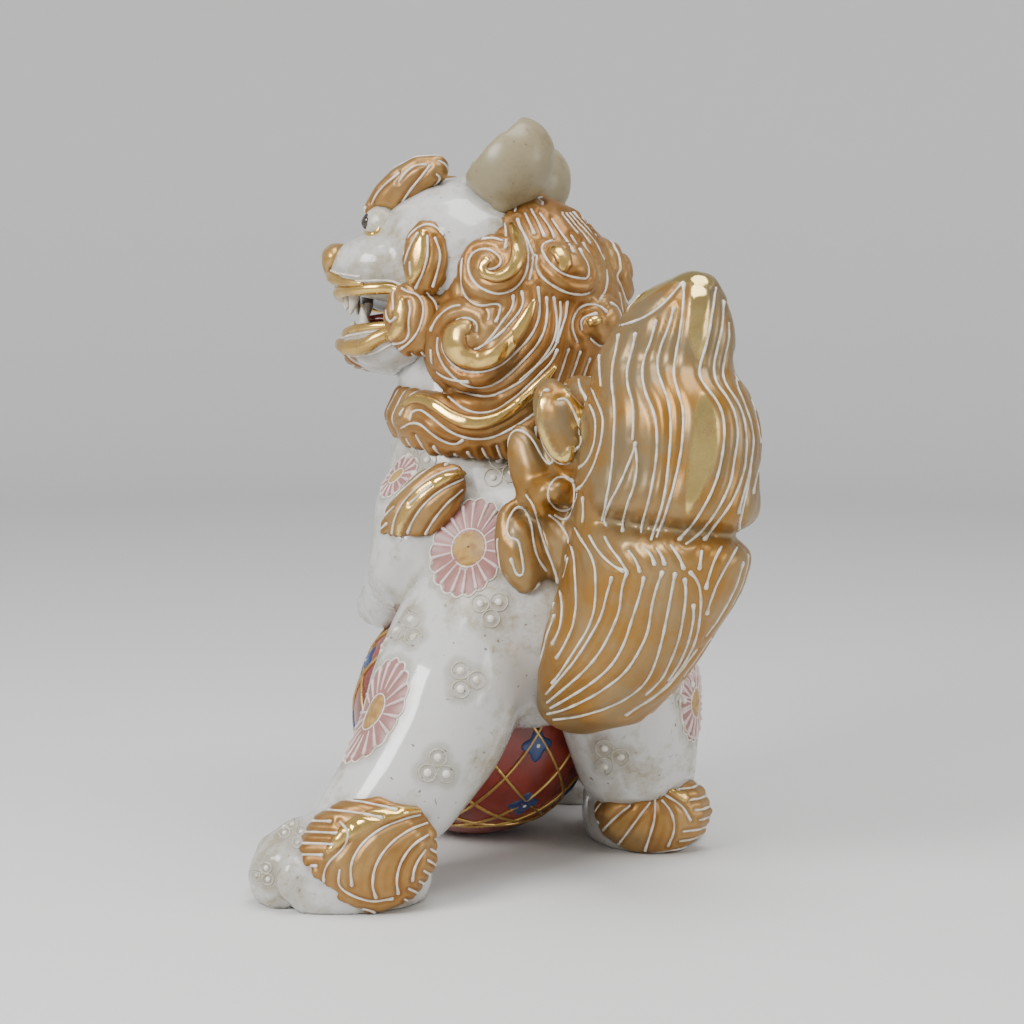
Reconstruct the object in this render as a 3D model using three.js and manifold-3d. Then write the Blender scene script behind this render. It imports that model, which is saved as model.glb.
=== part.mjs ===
// A porcelain foo dog, or guardian lion, standing over a brocade ball. Millimetres, +Z up, the dog faces -Y
// and its own left side is +X. It is a slip-cast figure: body, head and ball, legs, ears, jaw and tail are
// cast apart, and curls, tufts and brows are pressed in small moulds and stuck on with slip before the firing.
// The real castings are shells about 6 mm thick, closed all round, so each is modelled as its solid outer form.
import * as THREE from 'three';
import { mergeVertices } from 'three/addons/utils/BufferGeometryUtils.js';
import Module from 'manifold-3d';

const wasm = await Module();
wasm.setup();

// ---------- driving dimensions ----------
const SLIP_GAP = 0.3;             // the luting line between two castings
const SOLE_GRIND = 1.2;           // how much is ground flat under a paw and under the ball

const BALL_RADIUS = 54;
const BALL_CLEARANCE = 2;         // between the ball and the belly
const BALL_SIDE = -4;
const BALL_FORWARD = 61;

const HIP_HEIGHT = 98;
const HIP_HALF_WIDTH = 43;
const HIP_HALF_DEPTH = 42;
const BELLY_HALF_WIDTH = 40;
const BELLY_HALF_DEPTH = 33;
const CHEST_RISE = 24;            // chest centre above the belly centre
const CHEST_HALF_WIDTH = 41;
const CHEST_HALF_DEPTH = 38;
const CHEST_FORWARD = 53;
const NECK_HALF_WIDTH = 31;
const NECK_LENGTH = 62;

const HIND_LEG_RADIUS = 30;
const FORE_LEG_RADIUS = 21;
const HIND_PAW = { length: 76, width: 54, height: 36 };
const FORE_PAW = { length: 62, width: 48, height: 32 };
const BALL_PAW = { length: 46, width: 36, height: 24 };
const LEFT_HIND_REACH = 97;       // how far the left hind paw is planted out to the side
const RIGHT_HIND_REACH = 64;
const RIGHT_FORE_REACH = 76;

const HEAD_TURN = 50;             // degrees, towards the dog's left
const HEAD_TILT = 11;             // degrees, right side lower
const SKULL = { long: 43, wide: 36, high: 37 };
const MUZZLE = { long: 27, wide: 31, high: 19 };
const JAW = { long: 26, wide: 25, high: 12 };
const MOUTH_GAP = 9;
const EAR = { long: 21, wide: 17, high: 18, wall: 5 };

const MANE = { wide: 46, deep: 45, high: 60 };
const RUFF = { wide: 52, deep: 48, tube: 14 };
const CURL_THICKNESS = 6;

const TAIL_HALF_WIDTH = 31;
const TAIL_HALF_DEPTH = 42;
const TAIL_HEIGHT = 250;

// ---------- small geometry helpers ----------
const V = (x, y, z) => new THREE.Vector3(x, y, z);
const degrees = THREE.MathUtils.degToRad;

// A closed three.js geometry as a manifold solid, moved by a matrix.
function solid(geometry, matrix = new THREE.Matrix4()) {
  const bare = geometry.clone();
  bare.deleteAttribute('normal');
  bare.deleteAttribute('uv');
  bare.applyMatrix4(matrix);
  const merged = mergeVertices(bare, 1e-4);
  return new wasm.Manifold(new wasm.Mesh({
    numProp: 3,
    vertProperties: merged.attributes.position.array,
    triVerts: new Uint32Array(merged.index.array),
  }));
}

// An axis frame at a point: its x axis is `forward`, its z axis leans as near to `up` as it can.
function frameAt(at, forward, up = V(0, 0, 1)) {
  const x = forward.clone().normalize();
  const y = new THREE.Vector3().crossVectors(up, x).normalize();
  const z = new THREE.Vector3().crossVectors(x, y);
  return new THREE.Matrix4().makeBasis(x, y, z).setPosition(at);
}

// An ellipsoid with half-axes long, wide and high in a frame.
function ellipsoid(size, frame, grow = 0, around = 12, down = 7) {
  const scale = new THREE.Matrix4().makeScale(size.long + grow, size.wide + grow, size.high + grow);
  return solid(new THREE.SphereGeometry(1, around, down), frame.clone().multiply(scale));
}

// A limb: elliptical sections along a smooth line, with rounded ends. Each station has `at`, the half-width
// `a` along `side` and the half-depth `b` square to it. `caps` says how far each end bulges.
function limb(stations, side, { grow = 0, around = 14, steps = 8, caps = [8, 8] } = {}) {
  const line = new THREE.CatmullRomCurve3(stations.map((s) => s.at));
  const girth = new THREE.CatmullRomCurve3(stations.map((s) => V(s.a, s.b, 0)));
  const rings = [];
  const addRing = (t, slide, shrink) => {
    const centre = line.getPoint(t);
    const along = line.getTangent(t);
    const u = side.clone().addScaledVector(along, -side.dot(along)).normalize();
    const w = new THREE.Vector3().crossVectors(along, u);
    const size = girth.getPoint(t);
    const ring = [];
    for (let i = 0; i < around; i++) {
      const angle = (i / around) * 2 * Math.PI;
      ring.push(centre.clone()
        .addScaledVector(along, slide)
        .addScaledVector(u, (size.x + grow) * shrink * Math.cos(angle))
        .addScaledVector(w, (size.y + grow) * shrink * Math.sin(angle)));
    }
    rings.push(ring);
  };
  const capRings = 2;
  for (let i = capRings; i > 0; i--) {
    const turn = (i / (capRings + 1)) * Math.PI / 2;
    addRing(0, -(caps[0] + grow) * Math.sin(turn), Math.cos(turn));
  }
  for (let i = 0; i <= steps; i++) addRing(i / steps, 0, 1);
  for (let i = 1; i <= capRings; i++) {
    const turn = (i / (capRings + 1)) * Math.PI / 2;
    addRing(1, (caps[1] + grow) * Math.sin(turn), Math.cos(turn));
  }
  const first = line.getPoint(0).addScaledVector(line.getTangent(0), -(caps[0] + grow));
  const last = line.getPoint(1).addScaledVector(line.getTangent(1), caps[1] + grow);
  const points = [first, ...rings.flat(), last];
  const index = [];
  const at = (ring, i) => 1 + ring * around + (i % around);
  for (let i = 0; i < around; i++) {
    index.push(0, at(0, i + 1), at(0, i));
    index.push(points.length - 1, at(rings.length - 1, i), at(rings.length - 1, i + 1));
    for (let r = 0; r + 1 < rings.length; r++) {
      index.push(at(r, i), at(r, i + 1), at(r + 1, i + 1));
      index.push(at(r, i), at(r + 1, i + 1), at(r + 1, i));
    }
  }
  const geometry = new THREE.BufferGeometry().setFromPoints(points);
  geometry.setIndex(index);
  return solid(geometry);
}

// The half-space below the ground, which grinds soles flat.
function ground(height) {
  return solid(new THREE.BoxGeometry(600, 600, 100), new THREE.Matrix4().setPosition(0, 0, height - 50));
}

// The point and outward normal of an ellipsoid in a direction given in its own frame.
function onEllipsoid(size, frame, direction) {
  const d = direction.clone().normalize();
  const local = V(d.x * size.long, d.y * size.wide, d.z * size.high);
  const normal = V(d.x / size.long, d.y / size.wide, d.z / size.high).transformDirection(frame);
  return { at: local.applyMatrix4(frame), normal };
}

function joined(parts) {
  return parts.reduce((whole, part) => whole.add(part));
}

function largest(manifold) {
  const bodies = manifold.decompose();
  return bodies.reduce((best, body) => (body.volume() > best.volume() ? body : best));
}

// ---------- materials ----------
const glaze = new THREE.MeshStandardMaterial({ color: 0xdedcd6, roughness: 0.12, metalness: 0 });
const gold = new THREE.MeshStandardMaterial({ color: 0xb98a3e, roughness: 0.3, metalness: 0.75 });
const wornGold = new THREE.MeshStandardMaterial({ color: 0xa99a72, roughness: 0.45, metalness: 0.1 });
const redGlaze = new THREE.MeshStandardMaterial({ color: 0x8e2a20, roughness: 0.2, metalness: 0 });
const enamel = new THREE.MeshStandardMaterial({ color: 0xe9e6df, roughness: 0.3, metalness: 0 });
const eyeBlack = new THREE.MeshStandardMaterial({ color: 0x1a1612, roughness: 0.1, metalness: 0 });

// ---------- the assembly ----------
const statue = new THREE.Group();
const placed = [];

// Adds a piece. `shape(grow)` makes its solid. What already stands there is cut out of it with the slip gap.
function add(name, material, shape, trim = (whole) => whole) {
  let body = trim(shape(0));
  const box = body.boundingBox();
  for (const other of placed) {
    const apart = [0, 1, 2].some((k) => other.box.min[k] > box.max[k] || other.box.max[k] < box.min[k]);
    if (!apart) body = body.subtract(other.grown);
  }
  const grown = shape(SLIP_GAP);
  placed.push({ grown, box: grown.boundingBox() });
  const made = largest(body).getMesh();
  const geometry = new THREE.BufferGeometry();
  geometry.setAttribute('position', new THREE.BufferAttribute(made.vertProperties.slice(), 3));
  geometry.setIndex(new THREE.BufferAttribute(made.triVerts.slice(), 1));
  geometry.computeVertexNormals();
  const mesh = new THREE.Mesh(geometry, material);
  mesh.name = name;
  statue.add(mesh);
}

// ---------- ball ----------
const ballCentre = V(BALL_SIDE, -BALL_FORWARD, BALL_RADIUS - SOLE_GRIND);
function ballShape(grow) {
  const radius = BALL_RADIUS + grow;
  return solid(new THREE.SphereGeometry(radius, 20, 12), new THREE.Matrix4().setPosition(ballCentre));
}
const standOn = (whole) => whole.subtract(ground(0));
add('brocade_ball', redGlaze, ballShape, standOn);

// ---------- torso ----------
const bellyHeight = 2 * BALL_RADIUS - SOLE_GRIND + BALL_CLEARANCE + 0.55 * BELLY_HALF_DEPTH;
const chestHeight = bellyHeight + CHEST_RISE;
const hip = V(2, -6, HIP_HEIGHT);
const chest = V(0, -CHEST_FORWARD, chestHeight);
const neckTop = V(chest.x - 2, chest.y - 12, chest.z + CHEST_HALF_DEPTH + 0.6 * NECK_LENGTH);
const SIDEWAYS = V(1, 0, 0);
const pelvisFrame = frameAt(hip, V(0, -1, 0));
const barrelLine = [
  { at: hip.clone().add(V(0, -6, 6)), a: HIP_HALF_WIDTH - 4, b: HIP_HALF_DEPTH - 6 },
  { at: V(0, -0.54 * CHEST_FORWARD, bellyHeight), a: BELLY_HALF_WIDTH, b: BELLY_HALF_DEPTH },
  { at: chest, a: CHEST_HALF_WIDTH, b: CHEST_HALF_DEPTH },
];
const neckLine = [
  { at: chest.clone().add(V(0, 0, 4)), a: CHEST_HALF_WIDTH - 1, b: CHEST_HALF_DEPTH - 3 },
  { at: chest.clone().lerp(neckTop, 0.45), a: NECK_HALF_WIDTH + 3, b: NECK_HALF_WIDTH + 2 },
  { at: neckTop, a: NECK_HALF_WIDTH - 2, b: NECK_HALF_WIDTH - 2 },
];
// Pelvis, barrel and neck run into one another.
function torsoShape(grow) {
  const around = 16;
  const pelvis = { long: HIP_HALF_DEPTH, wide: HIP_HALF_WIDTH, high: HIP_HALF_DEPTH };
  return joined([
    ellipsoid(pelvis, pelvisFrame, grow, around, 9),
    limb(barrelLine, SIDEWAYS, { grow, around, steps: 4, caps: [6, 16] }),
    limb(neckLine, SIDEWAYS, { grow, around, steps: 3, caps: [30, 6] }),
  ]);
}
add('torso', glaze, torsoShape);

// ---------- legs ----------
// A paw in its own frame: x points at the toes and the sole lies on z = 0. Four round toes stand in front.
function pawShape(size, frame, grow) {
  const pad = frame.clone().multiply(new THREE.Matrix4().setPosition(0, 0, 0.3 * size.height));
  const parts = [ellipsoid({ long: 0.5 * size.length, wide: 0.5 * size.width, high: 0.7 * size.height },
    pad, grow)];
  for (let toe = 0; toe < 4; toe++) {
    const spread = degrees((toe - 1.5) * 27);
    const at = frame.clone().multiply(new THREE.Matrix4().setPosition(
      0.32 * size.length * Math.cos(spread), 0.45 * size.width * Math.sin(spread), 0.38 * size.height));
    const radius = 0.2 * size.width;
    parts.push(ellipsoid({ long: 1.15 * radius, wide: radius, high: 1.25 * radius }, at, grow, 8, 5));
  }
  return joined(parts);
}

// A leg is a limb from the body down to a paw, ground flat where it stands on the floor.
function legShape(stations, side, paw, pawFrame, caps) {
  return (grow) => limb(stations, side, { grow, around: 14, steps: 5, caps })
    .add(pawShape(paw, pawFrame, grow));
}
const leftHindPaw = V(LEFT_HIND_REACH, 9, -SOLE_GRIND);
const leftHindHeading = V(0.866, -0.5, 0);
const leftHindLine = [
  {
    at: V(hip.x + 0.56 * HIP_HALF_WIDTH, hip.y + 2, HIP_HEIGHT + 4),
    a: HIND_LEG_RADIUS + 2, b: HIND_LEG_RADIUS + 3,
  },
  { at: V(0.46 * LEFT_HIND_REACH, 3, 78), a: HIND_LEG_RADIUS + 4, b: HIND_LEG_RADIUS + 2 },
  { at: V(0.62 * LEFT_HIND_REACH, 10, 54), a: HIND_LEG_RADIUS - 1, b: HIND_LEG_RADIUS - 2 },
  { at: leftHindPaw.clone().add(V(-4, 3, 22)), a: HIND_LEG_RADIUS - 8, b: HIND_LEG_RADIUS - 9 },
];
const leftHindFrame = frameAt(leftHindPaw, leftHindHeading);
const leftHindShape = legShape(leftHindLine, V(0.5, 0.866, 0), HIND_PAW, leftHindFrame, [24, 4]);
add('left_hind_leg', glaze, leftHindShape, standOn);

const rightHindPaw = V(-RIGHT_HIND_REACH, -17, -SOLE_GRIND);
const rightHindHeading = V(-0.5, -0.866, 0);
const rightHindLine = [
  {
    at: V(hip.x - 0.72 * HIP_HALF_WIDTH, hip.y - 4, HIP_HEIGHT + 3),
    a: HIND_LEG_RADIUS + 2, b: HIND_LEG_RADIUS + 4,
  },
  { at: V(-0.66 * RIGHT_HIND_REACH, -3, 76), a: HIND_LEG_RADIUS + 4, b: HIND_LEG_RADIUS + 3 },
  { at: V(-0.72 * RIGHT_HIND_REACH, 0, 50), a: HIND_LEG_RADIUS, b: HIND_LEG_RADIUS },
  { at: rightHindPaw.clone().add(V(4, 8, 20)), a: HIND_LEG_RADIUS - 9, b: HIND_LEG_RADIUS - 9 },
];
const rightHindFrame = frameAt(rightHindPaw, rightHindHeading);
add('right_hind_leg', glaze, legShape(rightHindLine, SIDEWAYS, HIND_PAW, rightHindFrame, [24, 4]), standOn);

// The left foreleg reaches forward and lays its paw on the ball.
const ballGrip = V(0.38, -0.4, 0.83).normalize();
const leftForePaw = ballCentre.clone().addScaledVector(ballGrip, BALL_RADIUS + SLIP_GAP);
const gripForward = V(0.05, -1, 0).addScaledVector(ballGrip, -V(0.05, -1, 0).dot(ballGrip)).normalize();
const leftForeFrame = frameAt(leftForePaw, gripForward, ballGrip);
const leftElbow = V(0.86 * CHEST_HALF_WIDTH, chest.y + 14, chest.z - 0.66 * CHEST_HALF_DEPTH);
const leftWrist = leftForePaw.clone().addScaledVector(gripForward, -8).addScaledVector(ballGrip, 11);
const leftUpperArm = [
  {
    at: V(0.62 * CHEST_HALF_WIDTH, chest.y + 4, chest.z - 3),
    a: FORE_LEG_RADIUS + 2, b: FORE_LEG_RADIUS + 4,
  },
  { at: leftElbow, a: FORE_LEG_RADIUS, b: FORE_LEG_RADIUS + 1 },
];
const leftForearm = [
  { at: leftElbow, a: FORE_LEG_RADIUS, b: FORE_LEG_RADIUS + 1 },
  { at: leftWrist, a: FORE_LEG_RADIUS - 3, b: FORE_LEG_RADIUS - 5 },
];
const armSide = V(0.9, -0.3, 0.3);
add('left_foreleg', glaze, (grow) => joined([
  limb(leftUpperArm, armSide, { grow, around: 12, steps: 2, caps: [16, 14] }),
  limb(leftForearm, armSide, { grow, around: 12, steps: 2, caps: [12, 4] }),
  pawShape(BALL_PAW, leftForeFrame, grow),
]));

// The right foreleg stands on the floor, bowed around the ball.
const rightForePaw = V(-RIGHT_FORE_REACH, chest.y - 48, -SOLE_GRIND);
const rightForeFrame = frameAt(rightForePaw, V(-0.2, -0.98, 0));
const rightForeLine = [
  {
    at: V(-0.6 * CHEST_HALF_WIDTH, chest.y + 2, chest.z - 2),
    a: FORE_LEG_RADIUS + 4, b: FORE_LEG_RADIUS + 7,
  },
  {
    at: V(-0.72 * RIGHT_FORE_REACH, chest.y - 6, chest.z - 0.95 * CHEST_HALF_DEPTH),
    a: FORE_LEG_RADIUS + 3, b: FORE_LEG_RADIUS + 5,
  },
  {
    at: V(-0.96 * RIGHT_FORE_REACH, chest.y - 24, 0.48 * chest.z),
    a: FORE_LEG_RADIUS, b: FORE_LEG_RADIUS + 2,
  },
  { at: rightForePaw.clone().add(V(0, 6, 20)), a: FORE_LEG_RADIUS - 3, b: FORE_LEG_RADIUS - 2 },
];
add('right_foreleg', glaze, legShape(rightForeLine, SIDEWAYS, FORE_PAW, rightForeFrame, [14, 4]), standOn);

// ---------- head ----------
// The head's frame: x looks forward, y is the dog's left, z is up.
const headAt = V(neckTop.x + 12, neckTop.y - 3, neckTop.z + 0.6 * SKULL.high);
const headFrame = new THREE.Matrix4().makeRotationZ(degrees(HEAD_TURN - 90)).setPosition(headAt)
  .multiply(new THREE.Matrix4().makeRotationX(degrees(HEAD_TILT)));
function inHead(forward, left, up) {
  return headFrame.clone().multiply(new THREE.Matrix4().setPosition(forward, left, up));
}
const headDirection = (forward, left, up) => V(forward, left, up).transformDirection(headFrame);
const headPoint = (forward, left, up) => V(forward, left, up).applyMatrix4(headFrame);

const skullFrame = inHead(-11, 0, 2);
const muzzleForward = 20;
const muzzleFrame = inHead(muzzleForward, 0, -3);
const skullShape = (grow) => ellipsoid(SKULL, skullFrame, grow, 16, 10)
  .add(ellipsoid(MUZZLE, muzzleFrame, grow, 12, 8));
const mouthFloor = -3 - MUZZLE.high;
add('skull', glaze, skullShape, (whole) => {
  const mouthFrame = inHead(muzzleForward + 12, 0, mouthFloor + 1);
  const mouth = ellipsoid({ long: 24, wide: 23, high: MOUTH_GAP }, mouthFrame);
  return whole.subtract(mouth);
});
const jawFrame = inHead(muzzleForward - 4, 0, mouthFloor - MOUTH_GAP - 0.35 * JAW.high);
const jawShape = (grow) => ellipsoid(JAW, jawFrame, grow)
  .add(ellipsoid({ long: 24, wide: 20, high: 13 }, inHead(-10, 0, mouthFloor - 4), grow, 10, 6));
add('lower_jaw', glaze, jawShape, (whole) => whole.subtract(
  ellipsoid({ long: 0.8 * JAW.long, wide: 0.72 * JAW.wide, high: 6 },
    jawFrame.clone().multiply(new THREE.Matrix4().setPosition(4, 0, JAW.high)))));
add('tongue', redGlaze, (grow) => ellipsoid({ long: 15, wide: 9, high: 3.5 },
  jawFrame.clone().multiply(new THREE.Matrix4().setPosition(3, 0, JAW.high - 1)), grow, 10, 6));
add('nose', gold, (grow) => ellipsoid({ long: 8, wide: 15, high: 8 },
  inHead(muzzleForward + MUZZLE.long - 3, 0, 2), grow, 10, 6));

// Two fangs hang from the upper lip and two stand on the jaw.
const fangHeight = 9;
const toothRows = [['upper', mouthFloor + 4, Math.PI], ['lower', mouthFloor - 0.2 * MOUTH_GAP, 0]];
for (const [row, up, flip] of toothRows) {
  for (const [side, sign] of [['left', 1], ['right', -1]]) {
    const seat = inHead(muzzleForward + (row === 'upper' ? 14 : 9), sign * 12.5, up)
      .multiply(new THREE.Matrix4().makeRotationX(Math.PI / 2 + flip));
    add(`${row}_${side}_fang`, enamel, (grow) => solid(
      new THREE.ConeGeometry(3 + grow, fangHeight + 2 * grow, 8), seat));
  }
}

// The mane is one cap over the back of the head and the neck, with a ruff under it and snail curls on it.
const maneFrame = frameAt(V(neckTop.x - 16, neckTop.y + 19, neckTop.z - 0.1 * MANE.high), V(0, -1, 0));
const maneSize = { long: MANE.deep, wide: MANE.wide, high: MANE.high };
const ruffFrame = frameAt(V(neckTop.x - 6, neckTop.y + 14, neckTop.z - 0.7 * MANE.high), V(0.1, -1, 0.08));
const ruffShape = (grow) => {
  const torus = new THREE.TorusGeometry(1, (RUFF.tube + grow) / RUFF.wide, 6, 16);
  const scale = new THREE.Matrix4().makeScale(RUFF.deep - RUFF.tube, RUFF.wide - RUFF.tube, RUFF.wide * 0.95);
  return solid(torus, ruffFrame.clone().multiply(scale));
};
const faceCut = (grow) => ellipsoid({ long: 46, wide: 80, high: 70 }, inHead(42, 0, -8), grow, 12, 8);
add('ruff', gold, ruffShape);
const maneShape = (grow) => ellipsoid(maneSize, maneFrame, grow, 16, 11);
add('mane_cap', gold, maneShape, (whole) => whole.subtract(faceCut(0)));

// Snail curls: round bosses seated on the mane, each named for where it sits.
function snail(radius, at, normal, grow) {
  const thickness = CURL_THICKNESS + grow;
  const reach = radius + grow;
  const profile = [
    [0, -thickness], [0.9 * reach, -thickness], [reach, -0.4 * thickness], [0.93 * reach, 0.25 * thickness],
    [0.72 * reach, 0.62 * thickness], [0.5 * reach, 0.35 * thickness + 0.5 * grow],
    [0.34 * reach, 0.85 * thickness], [0.15 * reach, thickness], [0, thickness],
  ].map(([x, y]) => new THREE.Vector2(x, y));
  const turn = new THREE.Quaternion().setFromUnitVectors(V(0, 1, 0), normal);
  return solid(new THREE.LatheGeometry(profile, 10),
    new THREE.Matrix4().makeRotationFromQuaternion(turn).setPosition(at));
}
const maneCurls = [
  ['mane_curl_left_temple', 14, [-0.6, 0.64, 0.47]], ['mane_curl_left_cheek', 19, [-0.51, 0.86, -0.06]],
  ['mane_curl_left_nape', 12, [-0.88, -0.02, 0.44]], ['mane_curl_right_nape', 11, [-0.94, -0.34, 0.1]],
  ['mane_curl_right_temple', 14, [-0.4, -0.8, 0.45]], ['mane_curl_right_cheek', 19, [-0.2, -0.96, -0.1]],
];
for (const [name, radius, [x, y, z]] of maneCurls) {
  const seat = onEllipsoid(maneSize, maneFrame, V(x, y, z));
  add(name, gold, (grow) => snail(radius, seat.at, seat.normal, grow));
}

// Ears are cupped shells on the back of the head.
for (const [side, sign] of [['left', 1], ['right', -1]]) {
  const seat = headPoint(-34, sign * 23, 40);
  const lean = headDirection(-0.62, sign * 0.1, 0.78);
  const earFrame = frameAt(seat, lean, headDirection(0.75, sign * 0.25, 0.6));
  const stem = [
    { at: headPoint(-29, sign * 21, 18), a: 8, b: 7 }, { at: headPoint(-33, sign * 22, 31), a: 9, b: 8 },
  ];
  const bowl = { long: EAR.long, wide: EAR.wide, high: EAR.high };
  const earShape = (grow) => ellipsoid(bowl, earFrame, grow, 12, 8)
    .add(limb(stem, headDirection(0, 1, 0), { grow, around: 8, steps: 2, caps: [4, 4] }));
  const cup = { long: EAR.long - EAR.wall, wide: EAR.wide - EAR.wall, high: EAR.high };
  const cupFrame = earFrame.clone().multiply(new THREE.Matrix4().setPosition(2, 0, 0.55 * EAR.high));
  add(`${side}_ear`, wornGold, earShape, (whole) => whole.subtract(ellipsoid(cup, cupFrame, 0, 10, 6)));
}

// Brows, eyes and cheek whiskers are pressed lumps, a pair of each.
for (const [side, sign] of [['left', 1], ['right', -1]]) {
  const lump = (name, material, size, frame) => {
    add(`${side}_${name}`, material, (grow) => ellipsoid(size, frame, grow, 10, 6));
  };
  lump('eye', eyeBlack, { long: 8.5, wide: 8.5, high: 8.5 }, inHead(22, sign * 16, 16));
  const browLine = [
    { at: headPoint(25, sign * 13, 21), a: 5, b: 6 }, { at: headPoint(17, sign * 16, 29), a: 7, b: 8 },
    { at: headPoint(7, sign * 19, 36), a: 7, b: 8 }, { at: headPoint(-3, sign * 21, 39), a: 4, b: 5 },
  ];
  const browShape = (grow) => limb(browLine, headDirection(0, 1, 0), { grow, around: 8, steps: 4, caps: [4, 3] });
  add(`${side}_brow`, gold, browShape);
  lump('cheek_tuft', gold, { long: 10, wide: 7, high: 16 }, inHead(-2, sign * 33, -2));
  lump('jowl_curl', gold, { long: 14, wide: 8, high: 17 }, inHead(3, sign * 26, -26));
}
add('chin_beard', gold, (grow) => limb([
  { at: headPoint(6, 0, -44), a: 17, b: 7 }, { at: headPoint(20, 0, -43), a: 18, b: 8 },
  { at: headPoint(33, 0, -41), a: 13, b: 8 },
], headDirection(0, 1, 0), { grow, around: 10, steps: 3, caps: [5, 5] }));

// ---------- tail ----------
const tailBase = V(hip.x - 2, hip.y + 16, HIP_HEIGHT - 25);
const tailTop = V(-26, 78, TAIL_HEIGHT);
const tailLine = [
  { at: tailBase, a: 0.42 * TAIL_HALF_WIDTH, b: 0.22 * TAIL_HALF_DEPTH },
  { at: V(-5, 32, tailBase.z + 6), a: 0.8 * TAIL_HALF_WIDTH, b: 0.5 * TAIL_HALF_DEPTH },
  { at: V(-8, 47, tailBase.z + 23), a: 0.96 * TAIL_HALF_WIDTH, b: 0.66 * TAIL_HALF_DEPTH },
  { at: V(-13, 58, tailBase.z + 47), a: 0.94 * TAIL_HALF_WIDTH, b: 0.86 * TAIL_HALF_DEPTH },
  { at: V(-17, 66, tailBase.z + 74), a: TAIL_HALF_WIDTH, b: TAIL_HALF_DEPTH },
  { at: V(-19, 66, tailBase.z + 105), a: 0.98 * TAIL_HALF_WIDTH, b: 0.98 * TAIL_HALF_DEPTH },
  { at: V(-21, 67, tailTop.z - 42), a: 0.86 * TAIL_HALF_WIDTH, b: 0.84 * TAIL_HALF_DEPTH },
  { at: V(-24, 73, tailTop.z - 16), a: 0.5 * TAIL_HALF_WIDTH, b: 0.5 * TAIL_HALF_DEPTH },
  { at: tailTop, a: 0.16 * TAIL_HALF_WIDTH, b: 0.16 * TAIL_HALF_DEPTH },
];
// A web of gold locks ties the plume to the back, all the way up to the mane.
const tailWeb = [
  { at: V(3, hip.y + 16, HIP_HEIGHT + 14), a: 14, b: 16 },
  { at: V(-1, hip.y + 24, HIP_HEIGHT + 44), a: 13, b: 19 },
  { at: V(-5, hip.y + 28, HIP_HEIGHT + 74), a: 12, b: 19 },
  { at: V(-10, hip.y + 30, HIP_HEIGHT + 100), a: 10, b: 14 },
];
add('tail_plume', gold, (grow) => limb(tailLine, SIDEWAYS, { grow, around: 16, steps: 12, caps: [5, 3] }));
add('tail_web', gold, (grow) => limb(tailWeb, SIDEWAYS, { grow, around: 12, steps: 6, caps: [8, 6] }));
const tailLeaves = [
  ['upper_leaf', V(7, 29, 186), V(0.2, -0.3, 1), { long: 20, wide: 8, high: 9 }],
  ['boss', V(11, 28, 157), V(0.2, -0.3, 1), { long: 9, wide: 9, high: 9 }],
  ['middle_leaf', V(12, 15, 165), V(0.1, -0.4, 1), { long: 22, wide: 7, high: 8 }],
  ['lower_leaf', V(19, 18, 134), V(-0.1, 0.2, -1), { long: 22, wide: 8, high: 10 }],
];
for (const [side, sign] of [['left', 1], ['right', -1]]) {
  for (const [name, at, along, size] of tailLeaves) {
    const mirrored = sign > 0 ? at : V(-at.x - 14, at.y, at.z);
    const heading = V(along.x * sign, along.y, along.z);
    const leafFrame = frameAt(mirrored, heading, V(sign, 0.4, 0));
    add(`tail_${side}_${name}`, gold, (grow) => ellipsoid(size, leafFrame, grow, 10, 6));
  }
}

// ---------- tufts ----------
// A flame tuft lies on a limb: `long` runs along `heading`, `high` stands off the surface along `outward`.
function tuft(name, at, heading, outward, size) {
  add(name, gold, (grow) => ellipsoid(size, frameAt(at, heading, outward), grow, 10, 6));
}
const leftHeel = leftHindPaw.clone().add(V(-2, 19, 22));
const rightHeel = rightHindPaw.clone().add(V(12, 26, 18));
const leftElbowBack = leftElbow.clone().add(V(4, 10, 22));
const rightElbowBack = V(-0.62 * RIGHT_FORE_REACH - 14, chest.y + 12, chest.z - 14);
const rightForeHeel = rightForePaw.clone().add(V(0, 22, 24));
const leftHeelSize = { long: 29, wide: 23, high: 15 };
const rightHeelSize = { long: 25, wide: 18, high: 15 };
tuft('left_hind_heel_tuft', leftHeel, V(0.8, -0.45, -0.3), V(0.5, 0.866, 0.1), leftHeelSize);
tuft('right_hind_heel_tuft', rightHeel, V(0.866, -0.5, 0), V(0.5, 0.866, 0.15), rightHeelSize);
tuft('left_elbow_tuft', leftElbowBack, V(-0.45, 0.5, 0.74), V(0.75, 0.6, 0.1), { long: 25, wide: 12, high: 10 });
tuft('right_elbow_tuft', rightElbowBack, V(0.25, 0.45, 0.86), V(-0.9, 0.35, 0.2), { long: 27, wide: 11, high: 8 });
tuft('right_fore_heel_tuft', rightForeHeel, V(0, -0.2, 1), V(0, 1, 0.2), { long: 18, wide: 15, high: 9 });

// The origin is the middle of the footprint, on the floor.
const bounds = new THREE.Box3().setFromObject(statue);
statue.position.set(-(bounds.min.x + bounds.max.x) / 2, -(bounds.min.y + bounds.max.y) / 2, -bounds.min.z);

export default statue;
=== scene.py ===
# %% [markdown]
# # A porcelain foo dog
# The real figure is slip-cast porcelain: hollow castings are luted together with wet clay, small curls and
# tufts are pressed in moulds and stuck on, and everything is glazed white. Then come a second and third
# firing with gold lustre, iron red, pink, and raised lines of white enamel that are piped on with a bag.
# This lesson follows that order. The CAD frame fixes where every casting sits. Here each one gets its skin.

# %% Open the frame
import math

import bmesh
import bpy
import numpy as np
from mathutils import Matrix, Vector
from mathutils.bvhtree import BVHTree
from mathutils.kdtree import KDTree


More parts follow.
